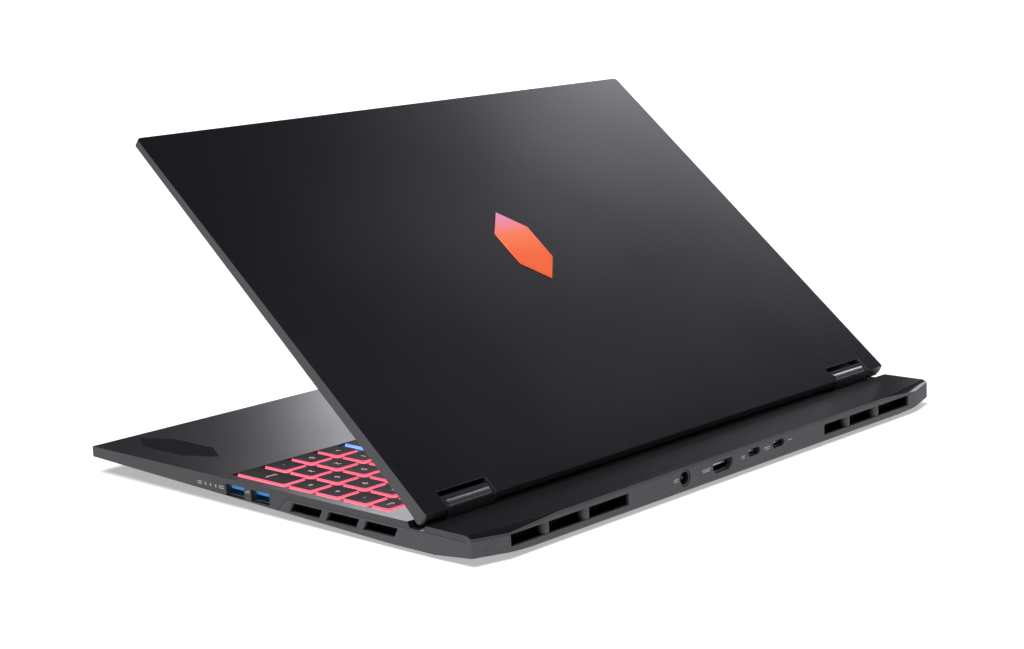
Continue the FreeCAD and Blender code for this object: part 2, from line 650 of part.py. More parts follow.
guide = body("keyboard_light_guide")
pad(guide, sketch_on(guide, "XY", tray_low - S["GuideThick"], [rectangle(*well)]), S["GuideThick"])
keep(guide, "keyboard_light_guide")

for label, caps in KEY_GROUPS.items():
    keys = body(label)
    pad(keys, sketch_on(keys, "XY", cap_low, caps), S["KeyThick"], taper=-S["KeyTaper"])
    doc.recompute()
    round_edges(keys, S["KeyCorner"], lambda edge: edge.BoundBox.ZLength > 0.9 * S["KeyThick"].number)
    keep(keys, label)

touchpad = body("touchpad")
touch_top = deck - S["PadDrop"]
pad(touchpad, sketch_on(touchpad, "XY", touch_top - S["PadThick"], [rectangle(*touch)]), S["PadThick"])
round_edges(touchpad, 2.0, lambda edge: runs_along(edge, "z"))
keep(touchpad, "touchpad")

# ---------------------------------------------------------------- sockets


def usb_socket(name, side, place):
    """Metal shell with a tongue in its upper half; its mouth is just inside the wall."""
    mouth = half_width - S["PortRecess"] - S["SideWall"] / 2
    back = mouth - S["UsbDepth"]
    width, height, middle = S["UsbWidth"], S["UsbHeight"], S["UsbCentre"]
    skin = as_size(0.35)

    def across(name, near, far, y0, y1, z0, z1):
        ends = (near, far) if side > 0 else (-far, -near)
        return box(name, *ends, y0, y1, z0, z1)

    shell = across(name + "_shell", back, mouth, place - width / 2, place + width / 2,
                   middle - height / 2, middle + height / 2)
    hollow = across(name + "_hollow", back + 1, mouth + 1, place - width / 2 + skin, place + width / 2 - skin,
                    middle - height / 2 + skin, middle + height / 2 - skin)
    tongue = across(name + "_tongue", back + 0.5, mouth - 1, place - width / 2 + 1.1, place + width / 2 - 1.1,
                    middle + 0.35, middle + 2.0)
    return fuse(name, [cut(name + "_can", shell, [hollow]), tongue])


keep(group("usb_a_sockets_right", [usb_socket(f"usb_right_{n}", 1, p) for n, p in enumerate(usb_places)]),
     "usb_a_sockets_right")
keep(usb_socket("usb_a_socket_left", -1, usb_places[1]), "usb_a_socket_left")

card_mouth = half_width - S["PortRecess"] - S["SideWall"] / 2
card_shell = box("card_shell", -card_mouth, 14 - card_mouth, card_place - S["CardWidth"] / 2,
                 card_place + S["CardWidth"] / 2, card_middle - S["CardHeight"] / 2,
                 card_middle + S["CardHeight"] / 2)
card_slot = box("card_slot", -card_mouth - 1, 12.5 - card_mouth, card_place - S["CardWidth"] / 2 + 0.6,
                card_place + S["CardWidth"] / 2 - 0.6, card_middle - 0.5, card_middle + 0.5)
keep(cut("card_reader", card_shell, [card_slot]), "card_reader")

audio_mouth = half_width - 0.3
audio_barrel = cylinder("audio_barrel", "X", -audio_mouth, audio_place, audio_middle, S["AudioBody"], 5)
audio_block = box("audio_block", 3.9 - audio_mouth, S["AudioDepth"] - audio_mouth, audio_place - 3.2,
                  audio_place + 3.2, audio_middle - 2.7, audio_middle + 2.7)
audio_bore = cylinder("audio_bore", "X", -audio_mouth - 1, audio_place, audio_middle, S["AudioBore"],
                      S["AudioDepth"] - 0.5)
keep(cut("audio_jack", fuse("audio_body", [audio_barrel, audio_block]), [audio_bore]), "audio_jack")


def type_c_socket(number, x):
    """Oval steel shell with a thin tongue in its middle."""
    mouth = rear - S["SideWall"] / 2 - S["PortRecess"]
    width, height, depth, skin = S["TypeCWidth"], S["TypeCHeight"], as_size(8.0), as_size(0.3)
    inner_height = height - skin * 2
    shell = rounded_bar(f"type_c_shell_{number}", x, width, height, height / 2 - 0.01, mouth, depth)
    hollow = rounded_bar(f"type_c_hollow_{number}", x, width - skin * 2, inner_height, inner_height / 2 - 0.01,
                         mouth + 1, depth + 0.2)
    z = S["TypeCPlace"]
    tongue = box("type_c_tongue", x - width / 2 + 1.3, x + width / 2 - 1.3, mouth - depth + 0.4, mouth - 1,
                 z - 0.35, z + 0.35)
    return fuse(f"type_c_{number}", [cut("type_c_can", shell, [hollow]), tongue])


keep(group("usb_c_sockets", [type_c_socket(n, x) for n, x in enumerate(type_c_places)]), "usb_c_sockets")


hdmi = body("hdmi_socket")
hdmi_mouth = rear - S["SideWall"] / 2 - S["PortRecess"]
hdmi_depth = as_size(11.0)
pad(hdmi, sketch_on(hdmi, "XZ", -hdmi_mouth, [hdmi_outline(0)]), hdmi_depth)
pocket(hdmi, sketch_on(hdmi, "XZ", -hdmi_mouth, [hdmi_outline(0.4)]), hdmi_depth - 1, backwards=True)
pad(hdmi, sketch_on(hdmi, "XZ", hdmi_depth - hdmi_mouth - 0.5,
                    [rectangle(S["HdmiAcross"] - 5.4, S["HdmiAcross"] + 5.4, S["HdmiPlace"] + 0.1,
                               S["HdmiPlace"] + 1.0)]), hdmi_depth - 2, backwards=True)
keep(hdmi, "hdmi_socket")

jack_mouth = rear - 0.4
jack_depth = as_size(10.0)
jack_ring = cylinder("jack_ring", "Y", S["JackAcross"], jack_mouth - jack_depth, S["JackPlace"],
                     S["JackRadius"] - 0.8, jack_depth)
jack_face = cylinder("jack_face", "Y", S["JackAcross"], jack_mouth - 1.6, S["JackPlace"],
                     S["JackRadius"], 1.6)
jack_bore = cylinder("jack_bore", "Y", S["JackAcross"], jack_mouth - jack_depth + 1, S["JackPlace"],
                     S["JackBore"], jack_depth)
jack_pin = cylinder("jack_pin", "Y", S["JackAcross"], jack_mouth - jack_depth + 0.5, S["JackPlace"],
                    S["JackPin"], jack_depth - 2)
keep(fuse("dc_power_socket", [cut("jack_shell", fuse("jack_body", [jack_ring, jack_face]), [jack_bore]),
                              jack_pin]), "dc_power_socket")

# ---------------------------------------------------------------- inside the base

board_low, board_top = S["BoardLow"], S["BoardLow"] + S["BoardThick"]
board_wing = half_width - 9
board_narrow = half_width - S["FanSide"] - S["FanRadius"] - 8
board_front, board_waist = front + 88, front + S["SideVentFront"] - 5
board = body("motherboard")
pad(board, sketch_on(board, "XY", board_low, [[
    (-board_wing, board_front), (board_wing, board_front), (board_wing, board_waist),
    (board_narrow, board_waist), (board_narrow, rear - 46), (-board_narrow, rear - 46),
    (-board_narrow, board_waist), (-board_wing, board_waist)]]), S["BoardThick"])
keep(board, "motherboard")

spreader = body("heat_spreader")
chip_y = rear - 102.2
block_thick, bridge_thick, paste = as_size(1.2), as_size(0.6), as_size(0.1)
blocks = [rectangle(-42, -8, chip_y - 17, chip_y + 17), rectangle(8, 42, chip_y - 13, chip_y + 13)]
pad(spreader, sketch_on(spreader, "XY", board_top + paste, blocks), block_thick)
pad(spreader, sketch_on(spreader, "XY", board_top + block_thick, [rectangle(-44, 44, chip_y - 9, chip_y + 9)]),
    bridge_thick)
keep(spreader, "heat_spreader")

pipe_z = board_top + block_thick + bridge_thick + paste + S["PipeRadius"] / 2
pipe_reach = -vent_left_end - 14


def heat_pipe(name, hand, start_x, start_y, end_x, end_y):
    """A flattened copper pipe: out from the middle, back past the fan and along the fin stack."""
    half, bend = S["PipeRadius"], as_size(10)
    piece = body(name)
    x0, x1, x2 = hand * start_x, hand * board_narrow, hand * end_x
    corners = [(x0, start_y - half), (x1 - hand * bend, start_y - half),
               (x1 + hand * half - hand * 1, end_y - half - 2), (x2, end_y - half), (x2, end_y + half),
               (x1 - hand * half - hand * 2, end_y + half), (x1 - hand * bend - hand * half, start_y + half),
               (x0, start_y + half)]
    pad(piece, sketch_on(piece, "XY", pipe_z - S["PipeRadius"] / 2, [corners]), S["PipeRadius"])
    return piece


fin_rear, fin_front = rear - S["SideWall"] - 5.4, rear - S["SideWall"] - 19
pipe_y = fin_front - 3
pipes = [heat_pipe("pipe_right", 1, 5, chip_y + 3, pipe_reach, pipe_y),
         heat_pipe("pipe_left", -1, 5, chip_y - 3, pipe_reach, pipe_y)]
keep(group("heat_pipes", pipes), "heat_pipes")


def fin_stack(name, x0, x1, y0, y1, along):
    """Thin fins standing between two end plates; along is the axis they are spaced on."""
    low, high = floor + S["TopWall"] + 0.6, channel_floor - S["TopWall"] - 0.5
    parts = [box(name + "_base", x0, x1, y0, y1, low, low + 0.4),
             box(name + "_cap", x0, x1, y0, y1, high - 0.4, high)]
    span = (x1 - x0) if along == "X" else (y1 - y0)
    count = int(span.number // S["FinPitch"].number)
    for n in range(count):
        place = S["FinPitch"] * n
        if along == "X":
            parts.append(box(name + "_fin", x0 + place, x0 + place + S["FinThick"], y0, y1, low, high))
        else:
            parts.append(box(name + "_fin", x0, x1, y0 + place, y0 + place + S["FinThick"], low, high))
    return fuse(name, parts)


stack_right, stack_left = [(low + 1, high - 6) for low, high in rear_vent_ends[:1]] + [
    (low + 6, high - 1) for low, high in rear_vent_ends[1:]]
rear_stacks = [fin_stack("rear_fins_right", *stack_right, fin_front, fin_rear, "X"),
               fin_stack("rear_fins_left", *stack_left, fin_front, fin_rear, "X")]
keep(group("rear_fin_stacks", rear_stacks), "rear_fin_stacks")
side_y0 = front + S["SideVentFront"] - 2
side_y1 = side_y0 + S["SideVentPitch"] * S["SideVentCount"] - 2
side_in, side_out = half_width - S["SideWall"] - 14, half_width - S["SideWall"] - 4
side_stacks = [fin_stack("side_fins_right", side_in, side_out, side_y0, side_y1, "Y"),
               fin_stack("side_fins_left", -side_out, -side_in, side_y0, side_y1, "Y")]
keep(group("side_fin_stacks", side_stacks), "side_fin_stacks")

for name, place in fan_places.items():
    low, high, skin = floor + S["TopWall"] + 0.4, S["FanHousingHigh"], S["FanWall"]
    out = S["FanRadius"] + 4
    reach = S["FanRadius"] + 1.5
    frame = box(name + "_frame", place - out, place + out, fan_y - out, fan_y + out, low, high)
    drum = cylinder(name + "_drum", "Z", place, fan_y, low + skin, reach, high - low - skin * 2)
    mouth_out = ((place + reach * 0.4, place + out + 1) if name == "right"
                 else (place - out - 1, place - reach * 0.4))
    side_mouth = box(name + "_side_mouth", *mouth_out, fan_y - reach * 0.7, fan_y + reach * 0.7,
                     low + skin, high - skin)
    rear_mouth = box(name + "_rear_mouth", place - reach * 0.7, place + reach * 0.7, fan_y + reach * 0.4,
                     fan_y + out + 1, low + skin, high - skin)
    inlet = S["FanRadius"] * 0.72
    inlet_low = cylinder(name + "_inlet_low", "Z", place, fan_y, low - 1, inlet, skin + 2)
    inlet_high = cylinder(name + "_inlet_high", "Z", place, fan_y, high - skin - 1, inlet, skin + 2)
    spider = box(name + "_spider", place - S["FanRadius"], place + S["FanRadius"], fan_y - 2, fan_y + 2,
                 low, low + skin)
    seat = cylinder(name + "_seat", "Z", place, fan_y, low, 9, skin)
    post = cylinder(name + "_post", "Z", place, fan_y, low, 1.2, high - low - skin - 1.6)
    shell = cut(name + "_fan_shell", frame, [drum, side_mouth, rear_mouth, inlet_low, inlet_high])
    keep(fuse("fan_housing_" + name, [shell, spider, seat, post]), "fan_housing_" + name)

    rotor_low, rotor_high = low + skin + 0.4, high - skin - 0.5
    hub = cylinder(name + "_hub", "Z", place, fan_y, rotor_low, 10, rotor_high - rotor_low)
    blades = body(name + "_blades")
    inner, outer = as_size(9.5), S["FanRadius"]
    thin = 0.5
    turns = int(S["FanBlades"].number)
    outlines = []
    for n in range(turns):
        angle = 2 * math.pi * n / turns
        lean = angle + 0.35
        side = (-math.sin(angle) * thin / 2, math.cos(angle) * thin / 2)
        foot = (place + inner * math.cos(angle), fan_y + inner * math.sin(angle))
        tip = (place + outer * math.cos(lean), fan_y + outer * math.sin(lean))
        outlines.append([(foot[0] + side[0], foot[1] + side[1]), (foot[0] - side[0], foot[1] - side[1]),
                         (tip[0] - side[0], tip[1] - side[1]), (tip[0] + side[0], tip[1] + side[1])])
    pad(blades, sketch_on(blades, "XY", rotor_low + 0.2, outlines), rotor_high - rotor_low - 0.2)
    bore = cylinder(name + "_rotor_bore", "Z", place, fan_y, rotor_low - 1, 1.2 + S["RunningFit"],
                    rotor_high - rotor_low + 0.2)
    keep(cut("fan_rotor_" + name, fuse(name + "_rotor_body", [hub, blades]), [bore]), "fan_rotor_" + name)

cells = []
cell_front, cell_rear = front + 20, front + 57
cell_width, cell_pitch, cell_count = 66, 69, 4
cell_low, cell_high = floor + S["TopWall"] + 0.5, as_size(10.2)
for n in range(cell_count):
    x0 = -136 + cell_pitch * n
    cells.append(box(f"battery_cell_{n}", x0, x0 + cell_width, cell_front, cell_rear, cell_low, cell_high))
cells.append(box("battery_board", -136, 137, cell_rear - 1, cell_rear + 2.5, cell_low + 1.3, cell_high - 2.2))
keep(fuse("battery_pack", cells), "battery_pack")

slot_y, slot_right = board_front + 51.2, board_narrow - 1
memory = [box("memory_board", slot_right - 32, slot_right - 2, slot_y - 1, slot_y + 29, board_top + 1.2,
              board_top + 2.2),
          box("memory_socket", slot_right - 34, slot_right, slot_y - 6, slot_y, board_top, board_top + 3.2)]
keep(fuse("memory_modules", memory), "memory_modules")
drive_y = board_front - 0.8
keep(box("solid_state_drive", -76, 4, drive_y, drive_y + 22, board_top + 0.6, board_top + 2.6),
     "solid_state_drive")
radio_y, radio_left = board_front + 31.2, board_narrow + 21
keep(box("wireless_card", radio_left, radio_left + 30, radio_y, radio_y + 22, board_top + 0.6,
         board_top + 2.0), "wireless_card")
speaker_out, speaker_high = half_width - 20.5, as_size(9.8)
speakers = [box(name, *ends, front + 66, front + 86, board_top + 0.4, speaker_high)
            for name, ends in (("speaker_right", (speaker_out - 30, speaker_out)),
                               ("speaker_left", (-speaker_out, 30 - speaker_out)))]
keep(group("speakers", speakers), "speakers")

# ---------------------------------------------------------------- hinges on the base

cover_half = (S["NotchWidth"] - S["CoverGap"] * 2) / 2
barrel_radius = S["ShaftRadius"] + 1.2
barrel_half = cover_half - 1.2
COVER_PROFILE = [(3.3, -6.6), (3.7, -4.0), (3.7, 0.3), (-0.3, 4.2), (-3.2, 3.9), (-5.0, 1.9), (-5.5, -1.0),
                 (-4.7, -3.4), (-3.0, -6.6)]
brackets = []
for name, place in hinge_sides.items():
    cover = body("cover_form_" + name)
    outline = [(hinge_y + y, hinge_z + z if z > -6 else channel_floor) for y, z in COVER_PROFILE]
    pad(cover, sketch_on(cover, "YZ", place, [outline]), cover_half * 2, both_ways=True)
    bore = cylinder(name + "_cover_bore", "X", place - barrel_half, hinge_y, hinge_z,
                    barrel_radius + 0.1, barrel_half * 2)
    web_slot = box(name + "_web_slot", place - bracket_half - 0.3, place + bracket_half + 0.3,
                   hinge_y - 1.5, hinge_y + 1.5, channel_floor - 1, hinge_z)
    inward = place - cover_half - 1 if place.number > 0 else place + barrel_half - 0.2
    shaft_way = cylinder(name + "_shaft_way", "X", inward, hinge_y, hinge_z,
                         S["ShaftRadius"] + S["RunningFit"] * 4, cover_half - barrel_half + 1.2)
    keep(cut("hinge_cover_" + name, cover, [bore, web_slot, shaft_way]), "hinge_cover_" + name)
    barrel = cylinder(name + "_barrel", "X", place - barrel_half + 0.1, hinge_y, hinge_z, barrel_radius,
                      barrel_half * 2 - 0.2)
    foot_low = channel_floor - S["TopWall"] - 2.0
    web = box(name + "_web", place - bracket_half, place + bracket_half, hinge_y - 1.3, hinge_y + 1.3,
              foot_low, hinge_z)
    foot = box(name + "_foot", place - 9, place + 9, hinge_y - 6, hinge_y + 6, foot_low, foot_low + 1.6)
    hole = cylinder(name + "_barrel_bore", "X", place - cover_half, hinge_y, hinge_z,
                    S["ShaftRadius"] + S["RunningFit"], cover_half * 2)
    brackets.append(cut(name + "_bracket", fuse(name + "_bracket_body", [barrel, web, foot]), [hole]))
keep(group("hinge_base_brackets", brackets), "hinge_base_brackets")

# ---------------------------------------------------------------- lid, drawn closed

lid_rear = hinge_y + 2.7
lid_top = hinge_z + S["LidSkinRise"]
lid_front = front - S["LidFrontOver"]
lid_length = lid_rear - lid_front
lid_low = deck + S["LidClosedGap"]
lid_front_top = lid_low + S["LidFrontThick"]
bulge = lid_rear + S["LidRearBulge"]
lid_width = S["BaseWidth"] - S["LidSideGap"] * 2
lid_half = lid_width / 2
rim = as_size(1.4)


def lid_placement(piece):
    """Turn a piece drawn on the closed lid about the hinge axis, up to the open angle."""
    angle = S["LidAngle"]
    piece.Placement.Rotation = FreeCAD.Rotation(FreeCAD.Vector(-1, 0, 0), 1)
    bind(piece, "Placement.Rotation.Angle", angle)
    bind(piece, "Placement.Base.y", hinge_y - hinge_y * cosine(angle) - hinge_z * sine(angle))
    bind(piece, "Placement.Base.z", hinge_z + hinge_y * sine(angle) - hinge_z * cosine(angle))


lower_line = [(lid_front, lid_low), (lid_rear - 17, lid_low), (lid_rear - 7, lid_low - 0.4),
              (lid_rear - 1.5, lid_low - 1.0)]
lid_outline = lower_line + [(bulge - 0.6, lid_low - 0.3), (bulge, lid_low + 0.8), (bulge, hinge_z + 0.1),
                            (lid_rear, lid_top), (lid_front, lid_front_top)]
cavity_rear = lid_rear - 10.5
notch_front = lid_rear - 9


def under_skin(y):
    """Height of the cover's inner face at a distance along the lid."""
    share = (y - lid_front) / lid_length
    return lid_front_top + (lid_top - lid_front_top) * share - S["LidWall"]


back_cover = body("lid_back_cover")
pad(back_cover, sketch_on(back_cover, "YZ", 0, [lid_outline]), lid_width, both_ways=True)
round_edges(back_cover, S["LidCorner"], lambda edge: runs_along(edge, "z"))
main_cavity = [(lid_front + rim, lid_low - 2), (cavity_rear, lid_low - 2),
               (cavity_rear, under_skin(cavity_rear)), (lid_front + rim, under_skin(lid_front + rim))]
pocket(back_cover, sketch_on(back_cover, "YZ", 0, [main_cavity]), lid_width - rim * 2, both_ways=True)
hinge_out = hinge_x + S["NotchWidth"] / 2
hinge_in = hinge_x - S["NotchWidth"] / 2
rear_spans = [(rim - hinge_in, hinge_in - rim), (hinge_out + rim, lid_half - rim),
              (rim - lid_half, -hinge_out - rim)]
for near, far in rear_spans:
    cavity = [(near, cavity_rear - 1), (far, cavity_rear - 1), (far, lid_rear - 0.2), (near, lid_rear - 0.2)]
    pocket(back_cover, sketch_on(back_cover, "XY", lid_low - 2, [cavity]),
           under_skin(cavity_rear) - lid_low + 2, backwards=True)
for hand in (1, -1):
    near, far = (hinge_in, hinge_out) if hand > 0 else (-hinge_out, -hinge_in)
    pocket(back_cover, sketch_on(back_cover, "XY", lid_low - 2, [rectangle(near, far, notch_front, bulge + 2)]),
           lid_top - lid_low + 4, backwards=True)
for place in hinge_sides.values():
    start = place - S["NotchWidth"] / 2 - rim - 1 if place.number > 0 else place + S["NotchWidth"] / 2 - 1
    pocket(back_cover, sketch_on(back_cover, "YZ", start, [], [(hinge_y, hinge_z, S["ShaftRadius"] + 0.15)]),
           rim + 2, backwards=True)
keep(back_cover, "lid_back_cover", lid_placement)

bezel = body("screen_bezel")
bezel_top = lid_low + S["BezelThick"]
fit = as_size(0.1)
pad(bezel, sketch_on(bezel, "YZ", 0, [[(lid_front + rim + fit, lid_low), (lid_rear - 17, lid_low),
                                       (cavity_rear - fit, lid_low - 0.2), (cavity_rear - fit, bezel_top),
                                       (lid_front + rim + fit, bezel_top)]]),
    lid_width - rim * 2 - fit * 2, both_ways=True)
for near, far in rear_spans:
    middle, span = (near + far) / 2, far - near - fit * 2
    lip = [(cavity_rear - fit * 2, lid_low - 0.25), (lid_rear - 7, lid_low - 0.4),
           (lid_rear - 1.5, lid_low - 1.0), (lid_rear - 0.3, lid_low - 0.8), (lid_rear - 0.3, bezel_top),
           (cavity_rear - fit * 2, bezel_top)]
    pad(bezel, sketch_on(bezel, "YZ", middle, [lip]), span, both_ways=True)
screen_front = lid_front + S["ScreenTopMargin"]
screen_rear = screen_front + S["ScreenHeight"]
pocket(bezel, sketch_on(bezel, "XY", bezel_top + 1, [rectangle(-S["ScreenWidth"] / 2, S["ScreenWidth"] / 2,
                                                              screen_front, screen_rear)]), 4)
lens_y = lid_front + 4.2
lens_radius = as_size(1.5)
pocket(bezel, sketch_on(bezel, "XY", bezel_top + 1, [], [(0, lens_y, lens_radius + 0.1)]), 4)
keep(bezel, "screen_bezel", lid_placement)

panel = body("display_panel")
panel_edge = as_size(1.4)
pad(panel, sketch_on(panel, "XY", bezel_top + 0.05, [rectangle(
    -S["ScreenWidth"] / 2 - panel_edge, S["ScreenWidth"] / 2 + panel_edge, screen_front - panel_edge,
    screen_rear + panel_edge)]), S["PanelThick"])
keep(panel, "display_panel", lid_placement)

camera_board = box("camera_board", -28, 28, lid_front + rim + 0.3, screen_front - panel_edge - 0.1,
                   bezel_top + 0.05, bezel_top + 1.5)
camera_lens = cylinder("camera_lens", "Z", 0, lens_y, lid_low + 0.1, lens_radius, 1.5)
keep(fuse("webcam_module", [camera_board, camera_lens]), "webcam_module", lid_placement)

bumpers = body("screen_bumpers")
bumper_x, bumper_half, bumper_width, bumper_thick = lid_half - 57.65, 5, 2.4, 0.35
pad(bumpers, sketch_on(bumpers, "XY", lid_low - bumper_thick, [
    rectangle(x - bumper_half, x + bumper_half, y, y + bumper_width)
    for y in (lid_front + 3.2, screen_rear + 1.4) for x in (-bumper_x, bumper_x)]), bumper_thick)
keep(bumpers, "screen_bumpers", lid_placement)

leaves = []
for name, place in hinge_sides.items():
    hand = 1 if name == "right" else -1
    shaft_in = hinge_in - 14
    shaft_out = hinge_x + barrel_half - 1
    ends = (shaft_in, shaft_out) if hand > 0 else (-shaft_out, -shaft_in)
    shaft = cylinder(name + "_shaft", "X", ends[0], hinge_y, hinge_z, S["ShaftRadius"], shaft_out - shaft_in)
    arm_ends = (shaft_in, hinge_in - rim - 0.8) if hand > 0 else (rim + 0.8 - hinge_in, -shaft_in)
    arm = box(name + "_leaf", *arm_ends, cavity_rear - 34, hinge_y, bezel_top + 2.0, bezel_top + 2.9)
    knuckle = box(name + "_knuckle", *arm_ends, hinge_y - 1.6, hinge_y + 1.6, bezel_top + 2.0, hinge_z)
    leaves.append(fuse(name + "_hinge_leaf", [shaft, arm, knuckle]))
keep(group("hinge_leaves", leaves), "hinge_leaves", lid_placement)

badge = body("lid_badge")
tip, waist = S["BadgeLength"] / 2, S["BadgeWidth"] / 2
badge_y = -S["BadgeCentre"]
pad(badge, sketch_on(badge, "XY", 0, [[(0, badge_y - tip), (waist, badge_y - tip * 0.45),
                                       (waist, badge_y + tip * 0.45), (0, badge_y + tip),
                                       (-waist, badge_y + tip * 0.45), (-waist, badge_y - tip * 0.45)]]),
    S["BadgeThick"])


def badge_placement(piece):
    """Lay the badge on the cover's sloping outer face, open with the lid."""
    angle = S["LidAngle"]
    slope = math.degrees(math.atan2((lid_top - lid_front_top).number, lid_length.number))
    y, z = lid_rear - hinge_y, lid_top - hinge_z
    piece.Placement.Rotation = FreeCAD.Rotation(FreeCAD.Vector(-1, 0, 0), 1)
    bind(piece, "Placement.Rotation.Angle", angle - slope)
    bind(piece, "Placement.Base.y", hinge_y + y * cosine(angle) + z * sine(angle))
    bind(piece, "Placement.Base.z", hinge_z - y * sine(angle) + z * cosine(angle))


keep(badge, "lid_badge", badge_placement)

# ---------------------------------------------------------------- check and write

doc.recompute()
faults = [thing.Label for thing in doc.Objects if "Invalid" in thing.State or "Error" in thing.State]
if faults:
    raise RuntimeError("failed objects: " + ", ".join(faults))
for piece in kept:
    if piece.Shape.isNull() or not piece.Shape.isValid() or piece.Shape.Volume <= 0:
        raise RuntimeError("bad shape: " + piece.Label)
os.makedirs("parts", exist_ok=True)
for piece in kept:
    piece.Shape.exportStep(f"parts/{piece.Label}.step")
print(len(kept), "pieces written")
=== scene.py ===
import bpy
import json
import math
from mathutils import Matrix, Vector


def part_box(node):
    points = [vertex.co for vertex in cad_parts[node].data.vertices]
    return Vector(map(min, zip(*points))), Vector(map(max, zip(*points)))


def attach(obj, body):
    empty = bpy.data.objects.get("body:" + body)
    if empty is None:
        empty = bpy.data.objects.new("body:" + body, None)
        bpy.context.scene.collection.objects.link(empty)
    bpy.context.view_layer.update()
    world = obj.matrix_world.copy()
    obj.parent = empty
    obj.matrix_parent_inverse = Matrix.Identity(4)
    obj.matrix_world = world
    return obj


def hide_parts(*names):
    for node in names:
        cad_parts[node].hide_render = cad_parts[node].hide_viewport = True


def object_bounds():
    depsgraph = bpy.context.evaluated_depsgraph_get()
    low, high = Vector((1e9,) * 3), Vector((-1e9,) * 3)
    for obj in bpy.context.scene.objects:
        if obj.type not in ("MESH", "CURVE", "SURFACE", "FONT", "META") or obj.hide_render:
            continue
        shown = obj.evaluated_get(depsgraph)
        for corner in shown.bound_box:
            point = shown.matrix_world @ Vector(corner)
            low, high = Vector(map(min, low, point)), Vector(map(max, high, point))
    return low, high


# A laptop computer with a number pad and a rear shelf behind its hinge, half open.
# Metres, +X is the user's right, -Y the front edge, +Z up.

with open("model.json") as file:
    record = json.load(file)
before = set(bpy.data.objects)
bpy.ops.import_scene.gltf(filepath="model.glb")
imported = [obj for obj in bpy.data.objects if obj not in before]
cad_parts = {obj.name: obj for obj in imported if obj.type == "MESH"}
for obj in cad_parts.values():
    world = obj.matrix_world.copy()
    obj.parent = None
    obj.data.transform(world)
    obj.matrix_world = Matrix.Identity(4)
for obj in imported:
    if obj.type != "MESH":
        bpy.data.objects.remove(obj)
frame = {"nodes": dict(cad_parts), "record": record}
cad_low, cad_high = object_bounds()
nodes = frame["nodes"]
bpy.ops.object.select_all(action="DESELECT")


# ---------------------------------------------------------------- studio
# A pale floor, a wide soft light overhead, two soft lights on the laptop's left whose sheen runs
# up the lid, and a small one low in front whose sheen crosses the palm rest. The room is dim,
# and the camera looks over the rear right corner.

VIEW_AZIMUTH, VIEW_ELEVATION, VIEW_ROLL = (math.radians(a) for a in (133.86, 10.93, -2.55))
VIEW_PLACE = Vector((0.7588, 0.7221, 0.2643))
LENS = 71.19
SENSOR = 36.0
FLOOR_REACH = 60.0
LIGHT_COLOUR = (1.0, 0.985, 1.07)
LID_MIDDLE = (-0.1, 0, 0.1)
OVERHEAD_WAY, OVERHEAD_SPREAD, OVERHEAD_POWER = Vector((0.38, 0.12, 1.0)), math.radians(38), 2.8
ROOM_COLOUR, ROOM_LEVEL = (0.85, 0.9, 1.0, 1), 0.06
FLOOR_GLOW = 0.4

camera_data = bpy.data.cameras.new("camera")
camera_data.lens = LENS
camera_data.sensor_width = SENSOR
camera = bpy.data.objects.new("camera", camera_data)
camera.matrix_world = (Matrix.Translation(VIEW_PLACE) @ Matrix.Rotation(VIEW_AZIMUTH, 4, "Z")
                       @ Matrix.Rotation(math.pi / 2 - VIEW_ELEVATION, 4, "X")
                       @ Matrix.Rotation(VIEW_ROLL, 4, "Z"))
bpy.context.scene.collection.objects.link(camera)
bpy.context.scene.camera = camera
bpy.context.scene.view_settings.view_transform = "Standard"


def soft_light(name, place, target, width, height, power):
    """A rectangular soft light that faces its target."""
    data = bpy.data.lights.new(name, "AREA")
    data.shape = "RECTANGLE"
    data.color = LIGHT_COLOUR
    data.size, data.size_y, data.energy = width, height, power
    light = bpy.data.objects.new(name, data)
    light.location = place
    light.rotation_euler = (Vector(target) - Vector(place)).to_track_quat("-Z", "Y").to_euler()
    bpy.context.scene.collection.objects.link(light)


soft_light("left_light", (-2.7, -0.35, 1.55), LID_MIDDLE, 0.7, 0.7, 4.6)
soft_light("high_left_light", (-2.37, -0.54, 1.84), LID_MIDDLE, 0.6, 0.6, 5.2)
soft_light("front_light", (-1.835, -2.055, 0.70), (0, 0, 0), 0.32, 0.32, 3.6)

sky_data = bpy.data.lights.new("overhead_light", "SUN")
sky_data.energy = OVERHEAD_POWER
sky_data.angle = OVERHEAD_SPREAD
sky = bpy.data.objects.new("overhead_light", sky_data)
sky.rotation_euler = OVERHEAD_WAY.to_track_quat("Z", "Y").to_euler()
bpy.context.scene.collection.objects.link(sky)

world = bpy.data.worlds.new("room")
bpy.context.scene.world = world
world.use_nodes = True
world.node_tree.nodes["Background"].inputs["Color"].default_value = ROOM_COLOUR
world.node_tree.nodes["Background"].inputs["Strength"].default_value = ROOM_LEVEL


def new_material(name, colour, roughness, metallic=0.0, specular=0.5):
    """A material, with its tree and its Principled shader for the nodes that shape it."""
    material = bpy.data.materials.new(name)
    material.use_nodes = True
    shader = material.node_tree.nodes["Principled BSDF"]
    shader.inputs["Base Color"].default_value = (*colour, 1)
    shader.inputs["Roughness"].default_value = roughness
    shader.inputs["Metallic"].default_value = metallic
    shader.inputs["Specular IOR Level"].default_value = specular
    return material, material.node_tree, shader


bpy.ops.mesh.primitive_plane_add(size=FLOOR_REACH)
floor = bpy.context.object
floor.name = "floor"
floor_material, _, floor_shader = new_material("pale_floor", (0.9, 0.9, 0.9), 0.9, specular=0.0)
floor_shader.inputs["Emission Color"].default_value = (1, 1, 1, 1)
floor_shader.inputs["Emission Strength"].default_value = FLOOR_GLOW
floor.data.materials.append(floor_material)


# ---------------------------------------------------------------- lid back cover
# The display's outer shell: a pressed and painted cover, satin black with a fine sparkle,
# whose edges are turned down into a narrow grey side band.

